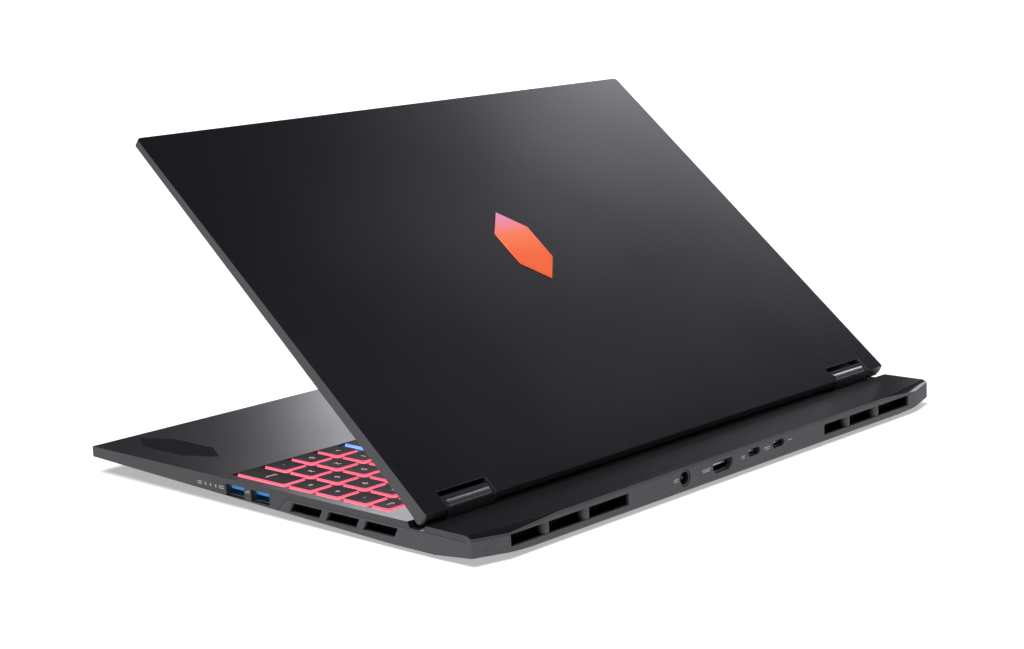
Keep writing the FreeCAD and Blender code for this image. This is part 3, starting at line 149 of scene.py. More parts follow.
MERGE = 2e-6
FLAT = math.radians(0.6)
SHARP = math.radians(28)
BEVEL_STEPS = 2
AREA_WEIGHT = 100
BAND_SIDE, BAND_FRONT, BAND_REAR = 0.35, 0.72, 0.85
LID_ROUND = 0.0003


def choose(piece, test):
    """In edit mode, select the faces of a piece that pass a test of place and normal."""
    bpy.ops.object.mode_set(mode="OBJECT")
    bpy.ops.object.select_all(action="DESELECT")
    bpy.context.view_layer.objects.active = piece
    piece.select_set(True)
    for part in (piece.data.vertices, piece.data.edges, piece.data.polygons):
        part.foreach_set("select", [False] * len(part))
    for face in piece.data.polygons:
        face.select = test(face.center, face.normal)
    bpy.ops.object.mode_set(mode="EDIT")
    bpy.ops.mesh.select_mode(type="FACE")


def merged_copy(node, name):
    """A copy of a CAD node with its triangles joined into whole faces."""
    bpy.ops.object.select_all(action="DESELECT")
    piece = bpy.data.objects.new(name, nodes[node].data.copy())
    bpy.context.scene.collection.objects.link(piece)
    choose(piece, lambda place, way: True)
    bpy.ops.mesh.customdata_custom_splitnormals_clear()
    bpy.ops.mesh.remove_doubles(threshold=MERGE)
    bpy.ops.mesh.dissolve_limited(angle_limit=FLAT)
    bpy.ops.object.mode_set(mode="OBJECT")
    piece.data.materials.clear()
    return piece


def paint_faces(piece, material, test):
    """Give the faces of a piece that pass a test a further material of their own."""
    piece.data.materials.append(material)
    choose(piece, test)
    piece.active_material_index = len(piece.data.materials) - 1
    bpy.ops.object.material_slot_assign()
    bpy.ops.object.mode_set(mode="OBJECT")


def soften(piece, width, shortest=0.0012):
    """Round the sharp edges that are long enough, then shade the faces flat between them."""
    mesh = piece.data
    ways = {}
    for face in mesh.polygons:
        for key in face.edge_keys:
            ways.setdefault(key, []).append(face.normal)
    weight = mesh.attributes.new("bevel_weight_edge", "FLOAT", "EDGE")
    for number, edge in enumerate(mesh.edges):
        one, two = (mesh.vertices[v].co for v in edge.vertices)
        sides = ways.get(tuple(sorted(edge.vertices)), [])
        sharp = len(sides) == 2 and sides[0].angle(sides[1], 0) > SHARP
        if sharp and (one - two).length > shortest:
            weight.data[number].value = 1.0
    bevel = piece.modifiers.new("edges", "BEVEL")
    bevel.limit_method = "WEIGHT"
    bevel.width = width
    bevel.segments = BEVEL_STEPS
    bevel.use_clamp_overlap = False
    bevel.miter_outer = "MITER_ARC"
    flat = piece.modifiers.new("flat_faces", "WEIGHTED_NORMAL")
    flat.weight = AREA_WEIGHT
    flat.keep_sharp = True
    settle(piece)


def settle(piece):
    """Apply a piece's modifiers and shade it smooth up to its sharp edges."""
    bpy.ops.object.select_all(action="DESELECT")
    bpy.context.view_layer.objects.active = piece
    piece.select_set(True)
    bpy.ops.object.shade_smooth_by_angle(angle=SHARP)
    for modifier in list(piece.modifiers):
        bpy.ops.object.modifier_apply(modifier=modifier.name)


def group_nodes(name, inputs, outputs):
    """An empty shader node group with these number inputs and these outputs."""
    tree = bpy.data.node_groups.new(name, "ShaderNodeTree")
    for label, value in inputs:
        socket = tree.interface.new_socket(label, in_out="INPUT", socket_type="NodeSocketFloat")
        socket.default_value = value
    for label, kind in outputs:
        tree.interface.new_socket(label, in_out="OUTPUT", socket_type="NodeSocket" + kind)
    return tree, tree.nodes.new("NodeGroupInput"), tree.nodes.new("NodeGroupOutput")


# Fine grain: a fine noise and a broad one on the piece's own place. Grain is the height of the
# moulded or sprayed texture, Shift a slow change over the surface, Fleck the rare bright specks.
FLECK_FROM, FLECK_TO = 0.62, 0.72
SHIFT_FROM, SHIFT_TO = 0.3, 0.7
BUMP_STRENGTH = 0.6
grain_tree, grain_in, grain_out = group_nodes(
    "fine_grain", [("Size", 2600.0), ("Broad", 9.0)],
    [("Grain", "Float"), ("Shift", "Float"), ("Fleck", "Float")])
grain_place = grain_tree.nodes.new("ShaderNodeTexCoord")
for label, scale_from, detail in (("Grain", "Size", 3.0), ("Shift", "Broad", 2.0)):
    noise = grain_tree.nodes.new("ShaderNodeTexNoise")
    noise.inputs["Detail"].default_value = detail
    grain_tree.links.new(grain_place.outputs["Object"], noise.inputs["Vector"])
    grain_tree.links.new(grain_in.outputs[scale_from], noise.inputs["Scale"])
    grain_tree.links.new(noise.outputs["Fac"], grain_out.inputs[label])
    if label == "Grain":
        fleck = grain_tree.nodes.new("ShaderNodeMapRange")
        fleck.inputs["From Min"].default_value = FLECK_FROM
        fleck.inputs["From Max"].default_value = FLECK_TO
        grain_tree.links.new(noise.outputs["Fac"], fleck.inputs["Value"])
        grain_tree.links.new(fleck.outputs["Result"], grain_out.inputs["Fleck"])


def grained(tree, shader, size, dark, light, smooth, rough, depth, feed="Grain"):
    """Colour, roughness and bump from the fine grain: dark to light, smooth to rough."""
    grain = tree.nodes.new("ShaderNodeGroup")
    grain.node_tree = grain_tree
    grain.inputs["Size"].default_value = size
    colours = tree.nodes.new("ShaderNodeMix")
    colours.data_type = "RGBA"
    colours.inputs["A"].default_value = (*dark, 1)
    colours.inputs["B"].default_value = (*light, 1)
    tree.links.new(grain.outputs[feed], colours.inputs["Factor"])
    tree.links.new(colours.outputs["Result"], shader.inputs["Base Color"])
    gloss = tree.nodes.new("ShaderNodeMapRange")
    gloss.inputs["From Min"].default_value = SHIFT_FROM
    gloss.inputs["From Max"].default_value = SHIFT_TO
    gloss.inputs["To Min"].default_value = smooth
    gloss.inputs["To Max"].default_value = rough
    tree.links.new(grain.outputs["Shift"], gloss.inputs["Value"])
    tree.links.new(gloss.outputs["Result"], shader.inputs["Roughness"])
    bump = tree.nodes.new("ShaderNodeBump")
    bump.inputs["Distance"].default_value = depth
    bump.inputs["Strength"].default_value = BUMP_STRENGTH
    tree.links.new(grain.outputs["Grain"], bump.inputs["Height"])
    tree.links.new(bump.outputs["Normal"], shader.inputs["Normal"])


lid_paint, tree, shader = new_material("lid_paint", (0.01, 0.01, 0.012), 0.3)
grained(tree, shader, 2400, (0.0055, 0.0055, 0.0078), (0.025, 0.025, 0.032), 0.23, 0.27, 0.000006,
        feed="Fleck")
band_paint, tree, shader = new_material("lid_band_paint", (0.05, 0.05, 0.056), 0.38, metallic=0.35)
grained(tree, shader, 3000, (0.045, 0.045, 0.05), (0.075, 0.075, 0.082), 0.36, 0.44, 0.00001)

lid_cover = merged_copy("lid_back_cover", "lid_cover")
soften(lid_cover, LID_ROUND)
lid_cover.data.materials.append(lid_paint)
paint_faces(lid_cover, band_paint,
            lambda place, way: abs(way.x) > BAND_SIDE or way.y < -BAND_FRONT or way.y > BAND_REAR)
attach(lid_cover, "lid")
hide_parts("lid_back_cover")


# ---------------------------------------------------------------- lid badge
# A long six-sided badge of anodised metal set in the lid, orange that turns to lilac at its
# far upper end. It is a plain shape of no meaning.

BADGE_ROUND = 0.00012
BADGE_TURN = 0.35
# How strongly the badge glows: a painted glow, since the metal is no lamp.
BADGE_PAINTED_GLOW = 0.35
badge_metal, tree, shader = new_material("badge_metal", (0.9, 0.2, 0.07), 0.3, metallic=0.75)
badge_place = tree.nodes.new("ShaderNodeTexCoord")
badge_split = tree.nodes.new("ShaderNodeSeparateXYZ")
badge_sweep = tree.nodes.new("ShaderNodeMapRange")
badge_low, badge_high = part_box("lid_badge")
badge_sweep.inputs["From Min"].default_value = badge_low.z + (badge_high.z - badge_low.z) * BADGE_TURN
badge_sweep.inputs["From Max"].default_value = badge_high.z
badge_colour = tree.nodes.new("ShaderNodeValToRGB")
badge_colour.color_ramp.elements[0].color = (0.93, 0.13, 0.035, 1)
badge_colour.color_ramp.elements[1].color = (0.75, 0.3, 0.55, 1)
middle = badge_colour.color_ramp.elements.new(0.5)
middle.color = (0.95, 0.2, 0.08, 1)
tree.links.new(badge_place.outputs["Object"], badge_split.inputs["Vector"])
tree.links.new(badge_split.outputs["Z"], badge_sweep.inputs["Value"])
tree.links.new(badge_sweep.outputs["Result"], badge_colour.inputs["Fac"])
tree.links.new(badge_colour.outputs["Color"], shader.inputs["Base Color"])
# The badge's emission is painted light that makes the metal shine on its own.
tree.links.new(badge_colour.outputs["Color"], shader.inputs["Emission Color"])
shader.inputs["Emission Strength"].default_value = BADGE_PAINTED_GLOW
badge = merged_copy("lid_badge", "badge")
soften(badge, BADGE_ROUND)
badge.data.materials.append(badge_metal)
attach(badge, "lid")
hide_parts("lid_badge")


# ---------------------------------------------------------------- screen bezel, panel, camera
# Round the glass runs a moulded frame with a fine texture. The panel is off, so it is dark
# glass with a soft sheen, and a small camera strip sits over its top edge.

bezel_plastic, tree, shader = new_material("bezel_plastic", (0.012, 0.012, 0.012), 0.55)
grained(tree, shader, 3500, (0.01, 0.01, 0.01), (0.02, 0.02, 0.021), 0.5, 0.62, 0.00002)
BEZEL_ROUND = 0.0002
bezel = merged_copy("screen_bezel", "bezel")
soften(bezel, BEZEL_ROUND)
bezel.data.materials.append(bezel_plastic)
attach(bezel, "lid")
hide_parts("screen_bezel")

screen_glass, tree, shader = new_material("screen_glass", (0.004, 0.005, 0.008), 0.18)
grained(tree, shader, 6000, (0.003, 0.004, 0.006), (0.006, 0.007, 0.01), 0.16, 0.24, 0.000004)
nodes["display_panel"].material_slots[0].material = screen_glass

lens_glass, tree, shader = new_material("lens_glass", (0.006, 0.006, 0.007), 0.25)
grained(tree, shader, 5000, (0.005, 0.005, 0.006), (0.012, 0.012, 0.013), 0.2, 0.3, 0.000004)
nodes["webcam_module"].material_slots[0].material = lens_glass

soft_rubber, tree, shader = new_material("soft_rubber", (0.015, 0.015, 0.015), 0.75, specular=0.3)
grained(tree, shader, 1800, (0.012, 0.012, 0.012), (0.024, 0.024, 0.024), 0.68, 0.82, 0.00004)
nodes["screen_bumpers"].material_slots[0].material = soft_rubber


# ---------------------------------------------------------------- top case
# The keyboard deck, palm rest and rear shelf are one moulding, satin black on top with a fine
# bead. Its sides are a smoother dark grey and its two rear corner facets are gloss black.

deck_paint, tree, shader = new_material("deck_paint", (0.008, 0.008, 0.01), 0.35)
grained(tree, shader, 2600, (0.003, 0.003, 0.004), (0.011, 0.011, 0.014), 0.32, 0.38, 0.00001)
side_paint, tree, shader = new_material("side_paint", (0.03, 0.03, 0.033), 0.42)
grained(tree, shader, 3000, (0.024, 0.024, 0.027), (0.042, 0.042, 0.046), 0.4, 0.5, 0.000012)
facet_gloss, tree, shader = new_material("facet_gloss", (0.006, 0.006, 0.007), 0.12)
grained(tree, shader, 4000, (0.005, 0.005, 0.006), (0.009, 0.009, 0.01), 0.1, 0.16, 0.000004)

# How steep a wall's face is, and how far in from each edge the walls and the facets reach.
WALL_TILT, SIDE_REACH, FRONT_REACH, REAR_REACH = 0.6, 0.02, -0.12, 0.006
FACET_TILT, FACET_LONG, FACET_DEEP = (0.5, 0.995), 0.04, 0.008
rear_edge = cad_high.y
right_edge = cad_high.x
deck_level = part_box("top_case")[1].z
rim = merged_copy("top_case", "deck_case")
settle(rim)
rim.data.materials.append(deck_paint)
paint_faces(rim, side_paint, lambda place, way: abs(way.z) < WALL_TILT and (
    abs(place.x) > right_edge - SIDE_REACH or place.y < FRONT_REACH or place.y > rear_edge - REAR_REACH))
paint_faces(rim, facet_gloss, lambda place, way: (
    abs(place.x) > right_edge - FACET_LONG and place.y > rear_edge - FACET_DEEP
    and FACET_TILT[0] < way.z < FACET_TILT[1]))
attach(rim, "base")
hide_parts("top_case")


# ---------------------------------------------------------------- bottom cover
# The tray under the base, moulded in a rougher speckled dark grey. It carries the intake slots,
# the side and rear vents with their round posts, and the openings for the rear sockets.

bottom_plastic, tree, shader = new_material("bottom_plastic", (0.04, 0.04, 0.042), 0.6)
grained(tree, shader, 1300, (0.006, 0.006, 0.008), (0.11, 0.11, 0.125), 0.5, 0.65, 0.00009)
tray = merged_copy("bottom_cover", "bottom_tray")
settle(tray)
tray.data.materials.append(bottom_plastic)
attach(tray, "base")
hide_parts("bottom_cover")


# ---------------------------------------------------------------- hinge covers
# Two moulded caps over the hinge barrels, dull black with a crisp chamfer along the top.

COVER_ROUND = 0.00025
cover_plastic, tree, shader = new_material("cover_plastic", (0.012, 0.012, 0.014), 0.55, specular=0.3)
grained(tree, shader, 2600, (0.009, 0.009, 0.011), (0.022, 0.022, 0.026), 0.5, 0.62, 0.000015)
for side in ("left", "right"):
    cover = merged_copy(f"hinge_cover_{side}", f"hinge_cap_{side}")
    soften(cover, COVER_ROUND)
    cover.data.materials.append(cover_plastic)
    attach(cover, "base")
    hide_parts(f"hinge_cover_{side}")


# ---------------------------------------------------------------- key light
# Under the keys lies a lit film in zones from left to right. The light leaks round each cap
# through its clear skirt, white hot low down and pure in colour above.

# Where each zone starts, from the left, and its colour.
ZONES = [(-1.0, (0.05, 0.75, 0.35)), (-0.105, (0.5, 0.08, 0.95)), (-0.03, (0.08, 0.42, 1.0)),
         (0.104, (1.0, 0.035, 0.13))]
zone_tree, _, zone_out = group_nodes("zone_light", [], [("Color", "Color")])
zone_place = zone_tree.nodes.new("ShaderNodeTexCoord")
zone_split = zone_tree.nodes.new("ShaderNodeSeparateXYZ")
zone_tree.links.new(zone_place.outputs["Object"], zone_split.inputs["Vector"])
before = None
for start, colour in ZONES:
    if before is None:
        tint = zone_tree.nodes.new("ShaderNodeRGB")
        tint.outputs[0].default_value = (*colour, 1)
        before = tint.outputs[0]
        continue
    past = zone_tree.nodes.new("ShaderNodeMath")
    past.operation = "GREATER_THAN"
    past.inputs[1].default_value = start
    zone_tree.links.new(zone_split.outputs["X"], past.inputs[0])
    mix = zone_tree.nodes.new("ShaderNodeMix")
    mix.data_type = "RGBA"
    mix.inputs["B"].default_value = (*colour, 1)
    zone_tree.links.new(past.outputs[0], mix.inputs["Factor"])
    zone_tree.links.new(before, mix.inputs["A"])
    before = mix.outputs["Result"]
zone_tree.links.new(before, zone_out.inputs["Color"])


def lit(tree, shader, strength, white):
    """Make a material glow in its zone's colour, paler by the share white."""
    zone = tree.nodes.new("ShaderNodeGroup")
    zone.node_tree = zone_tree
    pale = tree.nodes.new("ShaderNodeMix")
    pale.data_type = "RGBA"
    pale.inputs["Factor"].default_value = white
    pale.inputs["B"].default_value = (1, 1, 1, 1)
    tree.links.new(zone.outputs["Color"], pale.inputs["A"])
    tree.links.new(pale.outputs["Result"], shader.inputs["Emission Color"])
    shader.inputs["Emission Strength"].default_value = strength
    return pale


# The metal plate glows faintly in its zone's colour: painted light from the lit film below, as the plate
# is no lamp.
plate_painted_glow, tree, shader = new_material("key_plate_metal", (0.03, 0.03, 0.03), 0.5, metallic=0.6)
grained(tree, shader, 900, (0.02, 0.02, 0.02), (0.06, 0.06, 0.06), 0.4, 0.6, 0.00003)
lit(tree, shader, 0.25, 0.0)
nodes["keyboard_plate"].material_slots[0].material = plate_painted_glow
guide_film, tree, shader = new_material("light_guide_film", (0.7, 0.7, 0.7), 0.35)
grained(tree, shader, 1200, (0.6, 0.6, 0.6), (0.8, 0.8, 0.8), 0.3, 0.4, 0.00001)
lit(tree, shader, 0.15, 0.2)
nodes["keyboard_light_guide"].material_slots[0].material = guide_film


# ---------------------------------------------------------------- keys
# Each cap is moulded clear, painted black on its slightly dished top, and left clear round its
# skirt, where the light comes through. The legends are cut through the paint.

DISH = 0.00012
DISH_RIM = 0.0012
TOP_ZONE, TOP_AREA, TOP_TILT = 0.0002, 2e-5, 0.9
PAINT_DEEP, PAINT_TILT = 0.0012, 0.8
SKIRT_TALL, SKIRT_PURE, SKIRT_PALE = 0.0015, 0.04, 0.22
cap_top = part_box("space_bar")[1].z

cap_paint, tree, shader = new_material("cap_paint", (0.006, 0.006, 0.007), 0.55, specular=0.25)
grained(tree, shader, 3200, (0.004, 0.004, 0.005), (0.011, 0.011, 0.013), 0.5, 0.6, 0.00002)
skirt_glow, tree, shader = new_material("skirt_glow", (0.3, 0.1, 0.12), 0.3)
pale = lit(tree, shader, 1.1, 0.0)
skirt_place = tree.nodes.new("ShaderNodeTexCoord")
skirt_split = tree.nodes.new("ShaderNodeSeparateXYZ")
skirt_fade = tree.nodes.new("ShaderNodeMapRange")
skirt_fade.inputs["From Min"].default_value = cap_top
skirt_fade.inputs["From Max"].default_value = cap_top - SKIRT_TALL
skirt_fade.inputs["To Min"].default_value = SKIRT_PURE
skirt_fade.inputs["To Max"].default_value = SKIRT_PALE
tree.links.new(skirt_place.outputs["Object"], skirt_split.inputs["Vector"])
tree.links.new(skirt_split.outputs["Z"], skirt_fade.inputs["Value"])
tree.links.new(skirt_fade.outputs["Result"], pale.inputs["Factor"])
legend_glow, tree, shader = new_material("legend_glow", (0.6, 0.6, 0.6), 0.4)
lit(tree, shader, 0.75, 0.4)

LEGENDS = {
    "function_row_keys": ["Esc"] + [f"F{n}" for n in range(1, 13)] + ["Del", "Home", "PgUp", "PgDn"],
    "power_button": ["On"],
    "number_row_keys": list("`1234567890-="),
    "backspace_key": ["Back"],
    "tab_key": ["Tab"],
    "upper_letter_row_keys": list("QWERTYUIOP[]\\"),
    "caps_lock_key": ["Caps"],
    "home_row_keys": list("ASDFGHJKL;'"),
    "enter_key": ["Enter"],
    "left_shift_key": ["Shift"],
    "lower_letter_row_keys": list("ZXCVBNM,./"),
    "right_shift_key": ["Shift"],
    "arrow_up_key": ["^"],
    "modifier_keys": ["Ctrl", "Fn", "Opt", "Alt", "Alt", "Menu", "Ctrl"],
    "space_bar": [""],
    "arrow_left_key": ["<"],
    "arrow_down_key": ["v"],
    "arrow_right_key": [">"],
    "numpad_keys": ["Num"] + list("/*-789+456=1230."),
    "numpad_enter_key": ["Enter"],
}
LETTER, WORD = 0.0052, 0.0031
LEGEND_THICK = 0.00003


def cap_places(piece):
    """The middle of each separate cap's top, row by row from the rear, left to right."""
    tops = [face.center.copy() for face in piece.data.polygons
            if face.normal.z > TOP_TILT and face.center.z > cap_top - TOP_ZONE and face.area > TOP_AREA]
    return sorted(tops, key=lambda place: (-round(place.y, 3), place.x))


def joined(name, parts):
    """Join several parts into one piece with its place in its mesh."""
    bpy.ops.object.select_all(action="DESELECT")
    for part in parts:
        part.select_set(True)
    bpy.context.view_layer.objects.active = parts[0]
    if len(parts) > 1:
        bpy.ops.object.join()
    bpy.context.object.name = name
    return bpy.context.object


for node, words in LEGENDS.items():
    caps = merged_copy(node, node.replace("_keys", "").replace("_key", "") + "_caps")
    caps.data.materials.append(cap_paint)
    paint_faces(caps, skirt_glow,
                lambda place, way: abs(way.z) < PAINT_TILT or place.z < cap_top - PAINT_DEEP)
    places = cap_places(caps)
    choose(caps, lambda place, way: way.z > TOP_TILT and place.z > cap_top - TOP_ZONE)
    bpy.ops.mesh.inset(thickness=DISH_RIM, use_individual=True)
    bpy.ops.transform.translate(value=(0, 0, -DISH))
    bpy.ops.object.mode_set(mode="OBJECT")
    settle(caps)
    bodies = frame["record"]["behaviour"]["bodies"]
    body = [name for name, members in bodies.items() if node in members][0]
    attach(caps, body)
    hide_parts(node)
    letters = []
    for place, word in zip(places, words):
        if not word:
            continue
        bpy.ops.object.select_all(action="DESELECT")
        bpy.ops.object.text_add(location=(0, 0, 0))
        text = bpy.context.object
        text.data.body = word
        text.data.size = LETTER if len(word) == 1 else WORD
        text.data.align_x, text.data.align_y = "CENTER", "CENTER"
        text.data.extrude = LEGEND_THICK / 2
        text.data.resolution_u = 3
        bpy.ops.object.convert(target="MESH")
        text = bpy.context.object
        text.location = (place.x, place.y, cap_top - DISH + LEGEND_THICK / 2)
        bpy.ops.object.transform_apply(location=True, rotation=True, scale=True)
        letters.append(text)
    if letters:
        legend = joined(caps.name.replace("_caps", "_legends"), letters)
        legend.data.materials.clear()
        legend.data.materials.append(legend_glow)
        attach(legend, body)


# ---------------------------------------------------------------- touchpad
# One pane of coated glass set a little below the palm rest, smoother than the deck round it.

pad_glass, tree, shader = new_material("touchpad_surface", (0.012, 0.012, 0.015), 0.32)
grained(tree, shader, 4200, (0.009, 0.009, 0.0115), (0.015, 0.015, 0.019), 0.3, 0.36, 0.000004)
PAD_ROUND, PAD_SHORTEST = 0.00015, 0.0003
pad = merged_copy("touchpad", "touch_pane")
soften(pad, PAD_ROUND, PAD_SHORTEST)
pad.data.materials.append(pad_glass)
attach(pad, "touchpad")
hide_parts("touchpad")


# ---------------------------------------------------------------- palm rest mark
# A long six-sided mark printed in gloss on the palm rest's right-hand corner, so thin that only
# its shine shows. It repeats the plain shape of the lid's badge.

MARK_HALF_LENGTH, MARK_HALF_WIDTH, MARK_THICK = 0.033, 0.011, 0.00004
MARK_X, MARK_Y, MARK_ROUND = 0.154, -0.099, 0.00001
mark_gloss, tree, shader = new_material("mark_gloss", (0.004, 0.004, 0.005), 0.1)
grained(tree, shader, 5000, (0.003, 0.003, 0.004), (0.006, 0.006, 0.008), 0.08, 0.14, 0.000002)
bpy.ops.object.select_all(action="DESELECT")
bpy.ops.mesh.primitive_cylinder_add(vertices=6, radius=1.0, depth=1.0)
mark = bpy.context.object
mark.name = "palm_mark"
mark.scale = (MARK_HALF_WIDTH, MARK_HALF_LENGTH, MARK_THICK)
mark.location = (MARK_X, MARK_Y, deck_level + MARK_THICK / 2)
bpy.ops.object.transform_apply(location=True, rotation=True, scale=True)
soften(mark, MARK_ROUND)
mark.data.materials.append(mark_gloss)
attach(mark, "base")


# ---------------------------------------------------------------- sockets
# Pressed steel cans stand behind the openings. Each full-size one holds a blue tongue with four
# contacts under it, and the round power inlet and the audio jack are black mouldings.

socket_steel, tree, shader = new_material("socket_steel", (0.3, 0.3, 0.31), 0.32, metallic=1.0)
grained(tree, shader, 1600, (0.24, 0.24, 0.25), (0.4, 0.4, 0.41), 0.26, 0.4, 0.00001)
for node in ("usb_a_sockets_right", "usb_a_socket_left", "card_reader", "usb_c_sockets", "hdmi_socket"):
    nodes[node].material_slots[0].material = socket_steel
jack_plastic, tree, shader = new_material("jack_plastic", (0.012, 0.012, 0.013), 0.4)
grained(tree, shader, 2400, (0.009, 0.009, 0.01), (0.02, 0.02, 0.022), 0.34, 0.48, 0.00001)
for node in ("dc_power_socket", "audio_jack"):
    nodes[node].material_slots[0].material = jack_plastic

TONGUE = (0.0122, 0.0112, 0.00185)
TONGUE_BACK, TONGUE_RISE, TONGUE_ROUND = 0.0007, 0.00118, 0.00012
CONTACT = (0.0085, 0.0011, 0.00018)
CONTACT_PITCH, CONTACT_BACK, CONTACT_ROUND, CONTACTS = 0.0025, 0.0008, 0.00004, 4
SHELL_WIDE = 0.0132
BAR_SHORTEST = 0.00005
# How strongly the blue tongues glow: a painted glow, since the plastic is no lamp.
TONGUE_PAINTED_GLOW = 0.25
tongue_blue, tree, shader = new_material("tongue_blue", (0.01, 0.22, 0.62), 0.35)
grained(tree, shader, 2200, (0.008, 0.2, 0.58), (0.012, 0.27, 0.7), 0.3, 0.42, 0.00001)
# The tongues' emission is painted light that lifts the blue out of the dark socket mouths.
shader.inputs["Emission Color"].default_value = (0.01, 0.3, 0.85, 1)
shader.inputs["Emission Strength"].default_value = TONGUE_PAINTED_GLOW
contact_gold, tree, shader = new_material("contact_gold", (0.8, 0.62, 0.3), 0.3, metallic=1.0)
grained(tree, shader, 3000, (0.7, 0.52, 0.24), (0.85, 0.68, 0.36), 0.25, 0.38, 0.000004)


def solid_bar(name, middle, size, bevel, material):
    """A bar with rounded edges, of a size, about a middle, as its own piece."""
    bpy.ops.object.select_all(action="DESELECT")
    bpy.ops.mesh.primitive_cube_add(size=1.0)
    bar = bpy.context.object
    bar.name = name
    bar.scale = size
    bar.location = middle
    bpy.ops.object.transform_apply(location=True, rotation=True, scale=True)
    soften(bar, bevel, BAR_SHORTEST)
    bar.data.materials.append(material)
    return bar


for node, hand, count in (("usb_a_sockets_right", 1, 2), ("usb_a_socket_left", -1, 1)):
    low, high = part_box(node)
    step = (high.y - low.y - SHELL_WIDE) / max(count - 1, 1)
    mouth = high.x if hand > 0 else low.x
    tongues, pins = [], []
    for number in range(count):
        y = low.y + SHELL_WIDE / 2 + step * number
        z = (low.z + high.z) / 2 + TONGUE_RISE
        x = mouth - hand * (TONGUE_BACK + TONGUE[0] / 2)
        tongues.append(solid_bar("tongue", (x, y, z), TONGUE, TONGUE_ROUND, tongue_blue))
        for pin in range(CONTACTS):
            place = (x + hand * ((TONGUE[0] - CONTACT[0]) / 2 - CONTACT_BACK),
                     y + CONTACT_PITCH * (pin - (CONTACTS - 1) / 2),
                     z - TONGUE[2] / 2 - CONTACT[2] / 2)
            pins.append(solid_bar("pin", place, CONTACT, CONTACT_ROUND, contact_gold))
    side = "right" if hand > 0 else "left"
    for piece in (joined(f"usb_tongues_{side}", tongues), joined(f"usb_contacts_{side}", pins)):
        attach(piece, "base")


# ---------------------------------------------------------------- printed marks by the sockets
# Small plain strokes printed in pale grey beside the openings stand for the usual symbols. They
# hold no letters: single and double dashes, dots and short bars.

STROKE_LIFT, STROKE_ROUND = 0.00003, 0.00001
print_grey, tree, shader = new_material("print_grey", (0.45, 0.45, 0.47), 0.5)
grained(tree, shader, 5000, (0.38, 0.38, 0.4), (0.55, 0.55, 0.57), 0.45, 0.6, 0.000002)
# Along the side or the rear, then height, length and thickness of each stroke.
SIDE_MARKS = [(-0.0506, 0.0096, 0.0034, 0.0004), (-0.0506, 0.0086, 0.0034, 0.0004),
              (-0.0462, 0.0091, 0.0008, 0.0014), (-0.0423, 0.0091, 0.0016, 0.0005),
              (-0.0423, 0.0091, 0.0005, 0.0016), (-0.0383, 0.0091, 0.0008, 0.0014),
              (-0.0341, 0.0096, 0.0036, 0.0004), (-0.0341, 0.0086, 0.0036, 0.0004),
              (-0.0145, 0.0096, 0.0036, 0.0004), (-0.0137, 0.0104, 0.0016, 0.0004)]
REAR_MARKS = [(0.0458, 0.0094, 0.0034, 0.0004), (0.0458, 0.0084, 0.0034, 0.0004),
              (0.0230, 0.0092, 0.0070, 0.0004), (0.0230, 0.0082, 0.0052, 0.0004),
              (-0.0060, 0.0094, 0.0024, 0.0004), (-0.0060, 0.0084, 0.0024, 0.0004),
              (-0.0255, 0.0098, 0.0050, 0.0004), (-0.0255, 0.0088, 0.0030, 0.0004),
              (-0.0449, 0.0096, 0.0030, 0.0004)]
strokes = [solid_bar("stroke", (right_edge, y, z), (STROKE_LIFT * 2, long, tall), STROKE_ROUND, print_grey)
           for y, z, long, tall in SIDE_MARKS]
strokes += [solid_bar("stroke", (x, rear_edge, z), (long, STROKE_LIFT * 2, tall), STROKE_ROUND, print_grey)
            for x, z, long, tall in REAR_MARKS]
marks = joined("socket_marks", strokes)
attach(marks, "base")


# ---------------------------------------------------------------- hinges, screws and feet
# Steel leaves and barrels turn inside the hinge covers, blackened screws hold the bottom cover,
# and the feet are soft rubber pads.

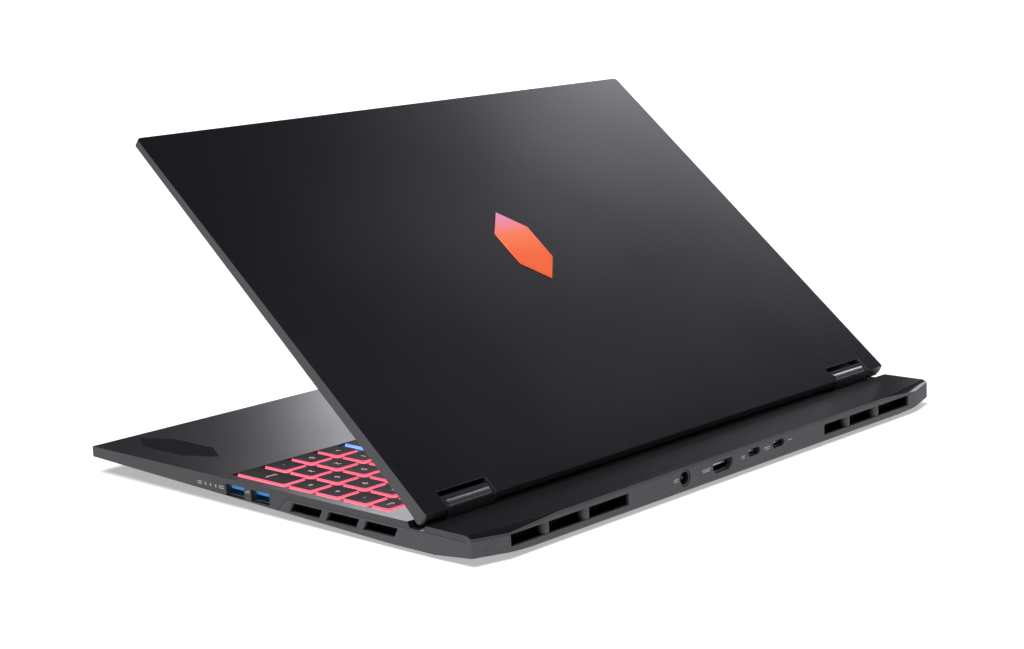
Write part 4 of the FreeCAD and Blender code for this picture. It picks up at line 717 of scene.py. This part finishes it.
hinge_steel, tree, shader = new_material("hinge_steel", (0.35, 0.35, 0.36), 0.35, metallic=1.0)
grained(tree, shader, 1400, (0.28, 0.28, 0.29), (0.44, 0.44, 0.45), 0.3, 0.45, 0.00002)
for node in ("hinge_leaves", "hinge_base_brackets"):
    nodes[node].material_slots[0].material = hinge_steel
screw_black, tree, shader = new_material("screw_steel", (0.04, 0.04, 0.045), 0.38, metallic=0.9)
grained(tree, shader, 2800, (0.03, 0.03, 0.034), (0.08, 0.08, 0.085), 0.32, 0.46, 0.00001)
nodes["bottom_screws"].material_slots[0].material = screw_black
nodes["rubber_feet"].material_slots[0].material = soft_rubber


# ---------------------------------------------------------------- inside
# Fans push air through stacks of aluminium fins, coloured near-black as painted shade for the
# dark inside of the vents, fed by flat copper pipes from the processor. The board, memory,
# drive, radio, battery and speakers fill the rest of the tray.

# Per finish: the nodes, grain size, dark and light colours, least and most roughness, metal share.
FINISH_BUMP = 0.00002
FINISHES = {
    # The fins' near-black colour is painted shade that stands in for the dark inside of the vents.
    "fins_painted_shade": (("rear_fin_stacks", "side_fin_stacks"), 1800,
                      (0.006, 0.006, 0.007), (0.014, 0.014, 0.016), 0.4, 0.55, 0.0),
    "fan_plastic": (("fan_housing_right", "fan_housing_left", "fan_rotor_right", "fan_rotor_left",
                     "speakers"), 2200, (0.009, 0.009, 0.01), (0.02, 0.02, 0.022), 0.45, 0.6, 0.0),
    "copper": (("heat_spreader", "heat_pipes"), 900, (0.75, 0.3, 0.16), (0.9, 0.42, 0.25), 0.25, 0.4, 1.0),
    "circuit_board": (("motherboard", "memory_modules", "solid_state_drive", "wireless_card"),
                      1100, (0.008, 0.022, 0.018), (0.02, 0.05, 0.04), 0.3, 0.5, 0.0),
    "battery_film": (("battery_pack",), 700, (0.012, 0.012, 0.014), (0.03, 0.03, 0.034), 0.4, 0.55, 0.0),
}
for name, (members, size, dark, light, smooth, rough, metallic) in FINISHES.items():
    finish, tree, shader = new_material(name, dark, smooth, metallic=metallic)
    grained(tree, shader, size, dark, light, smooth, rough, FINISH_BUMP)
    for node in members:
        nodes[node].material_slots[0].material = finish
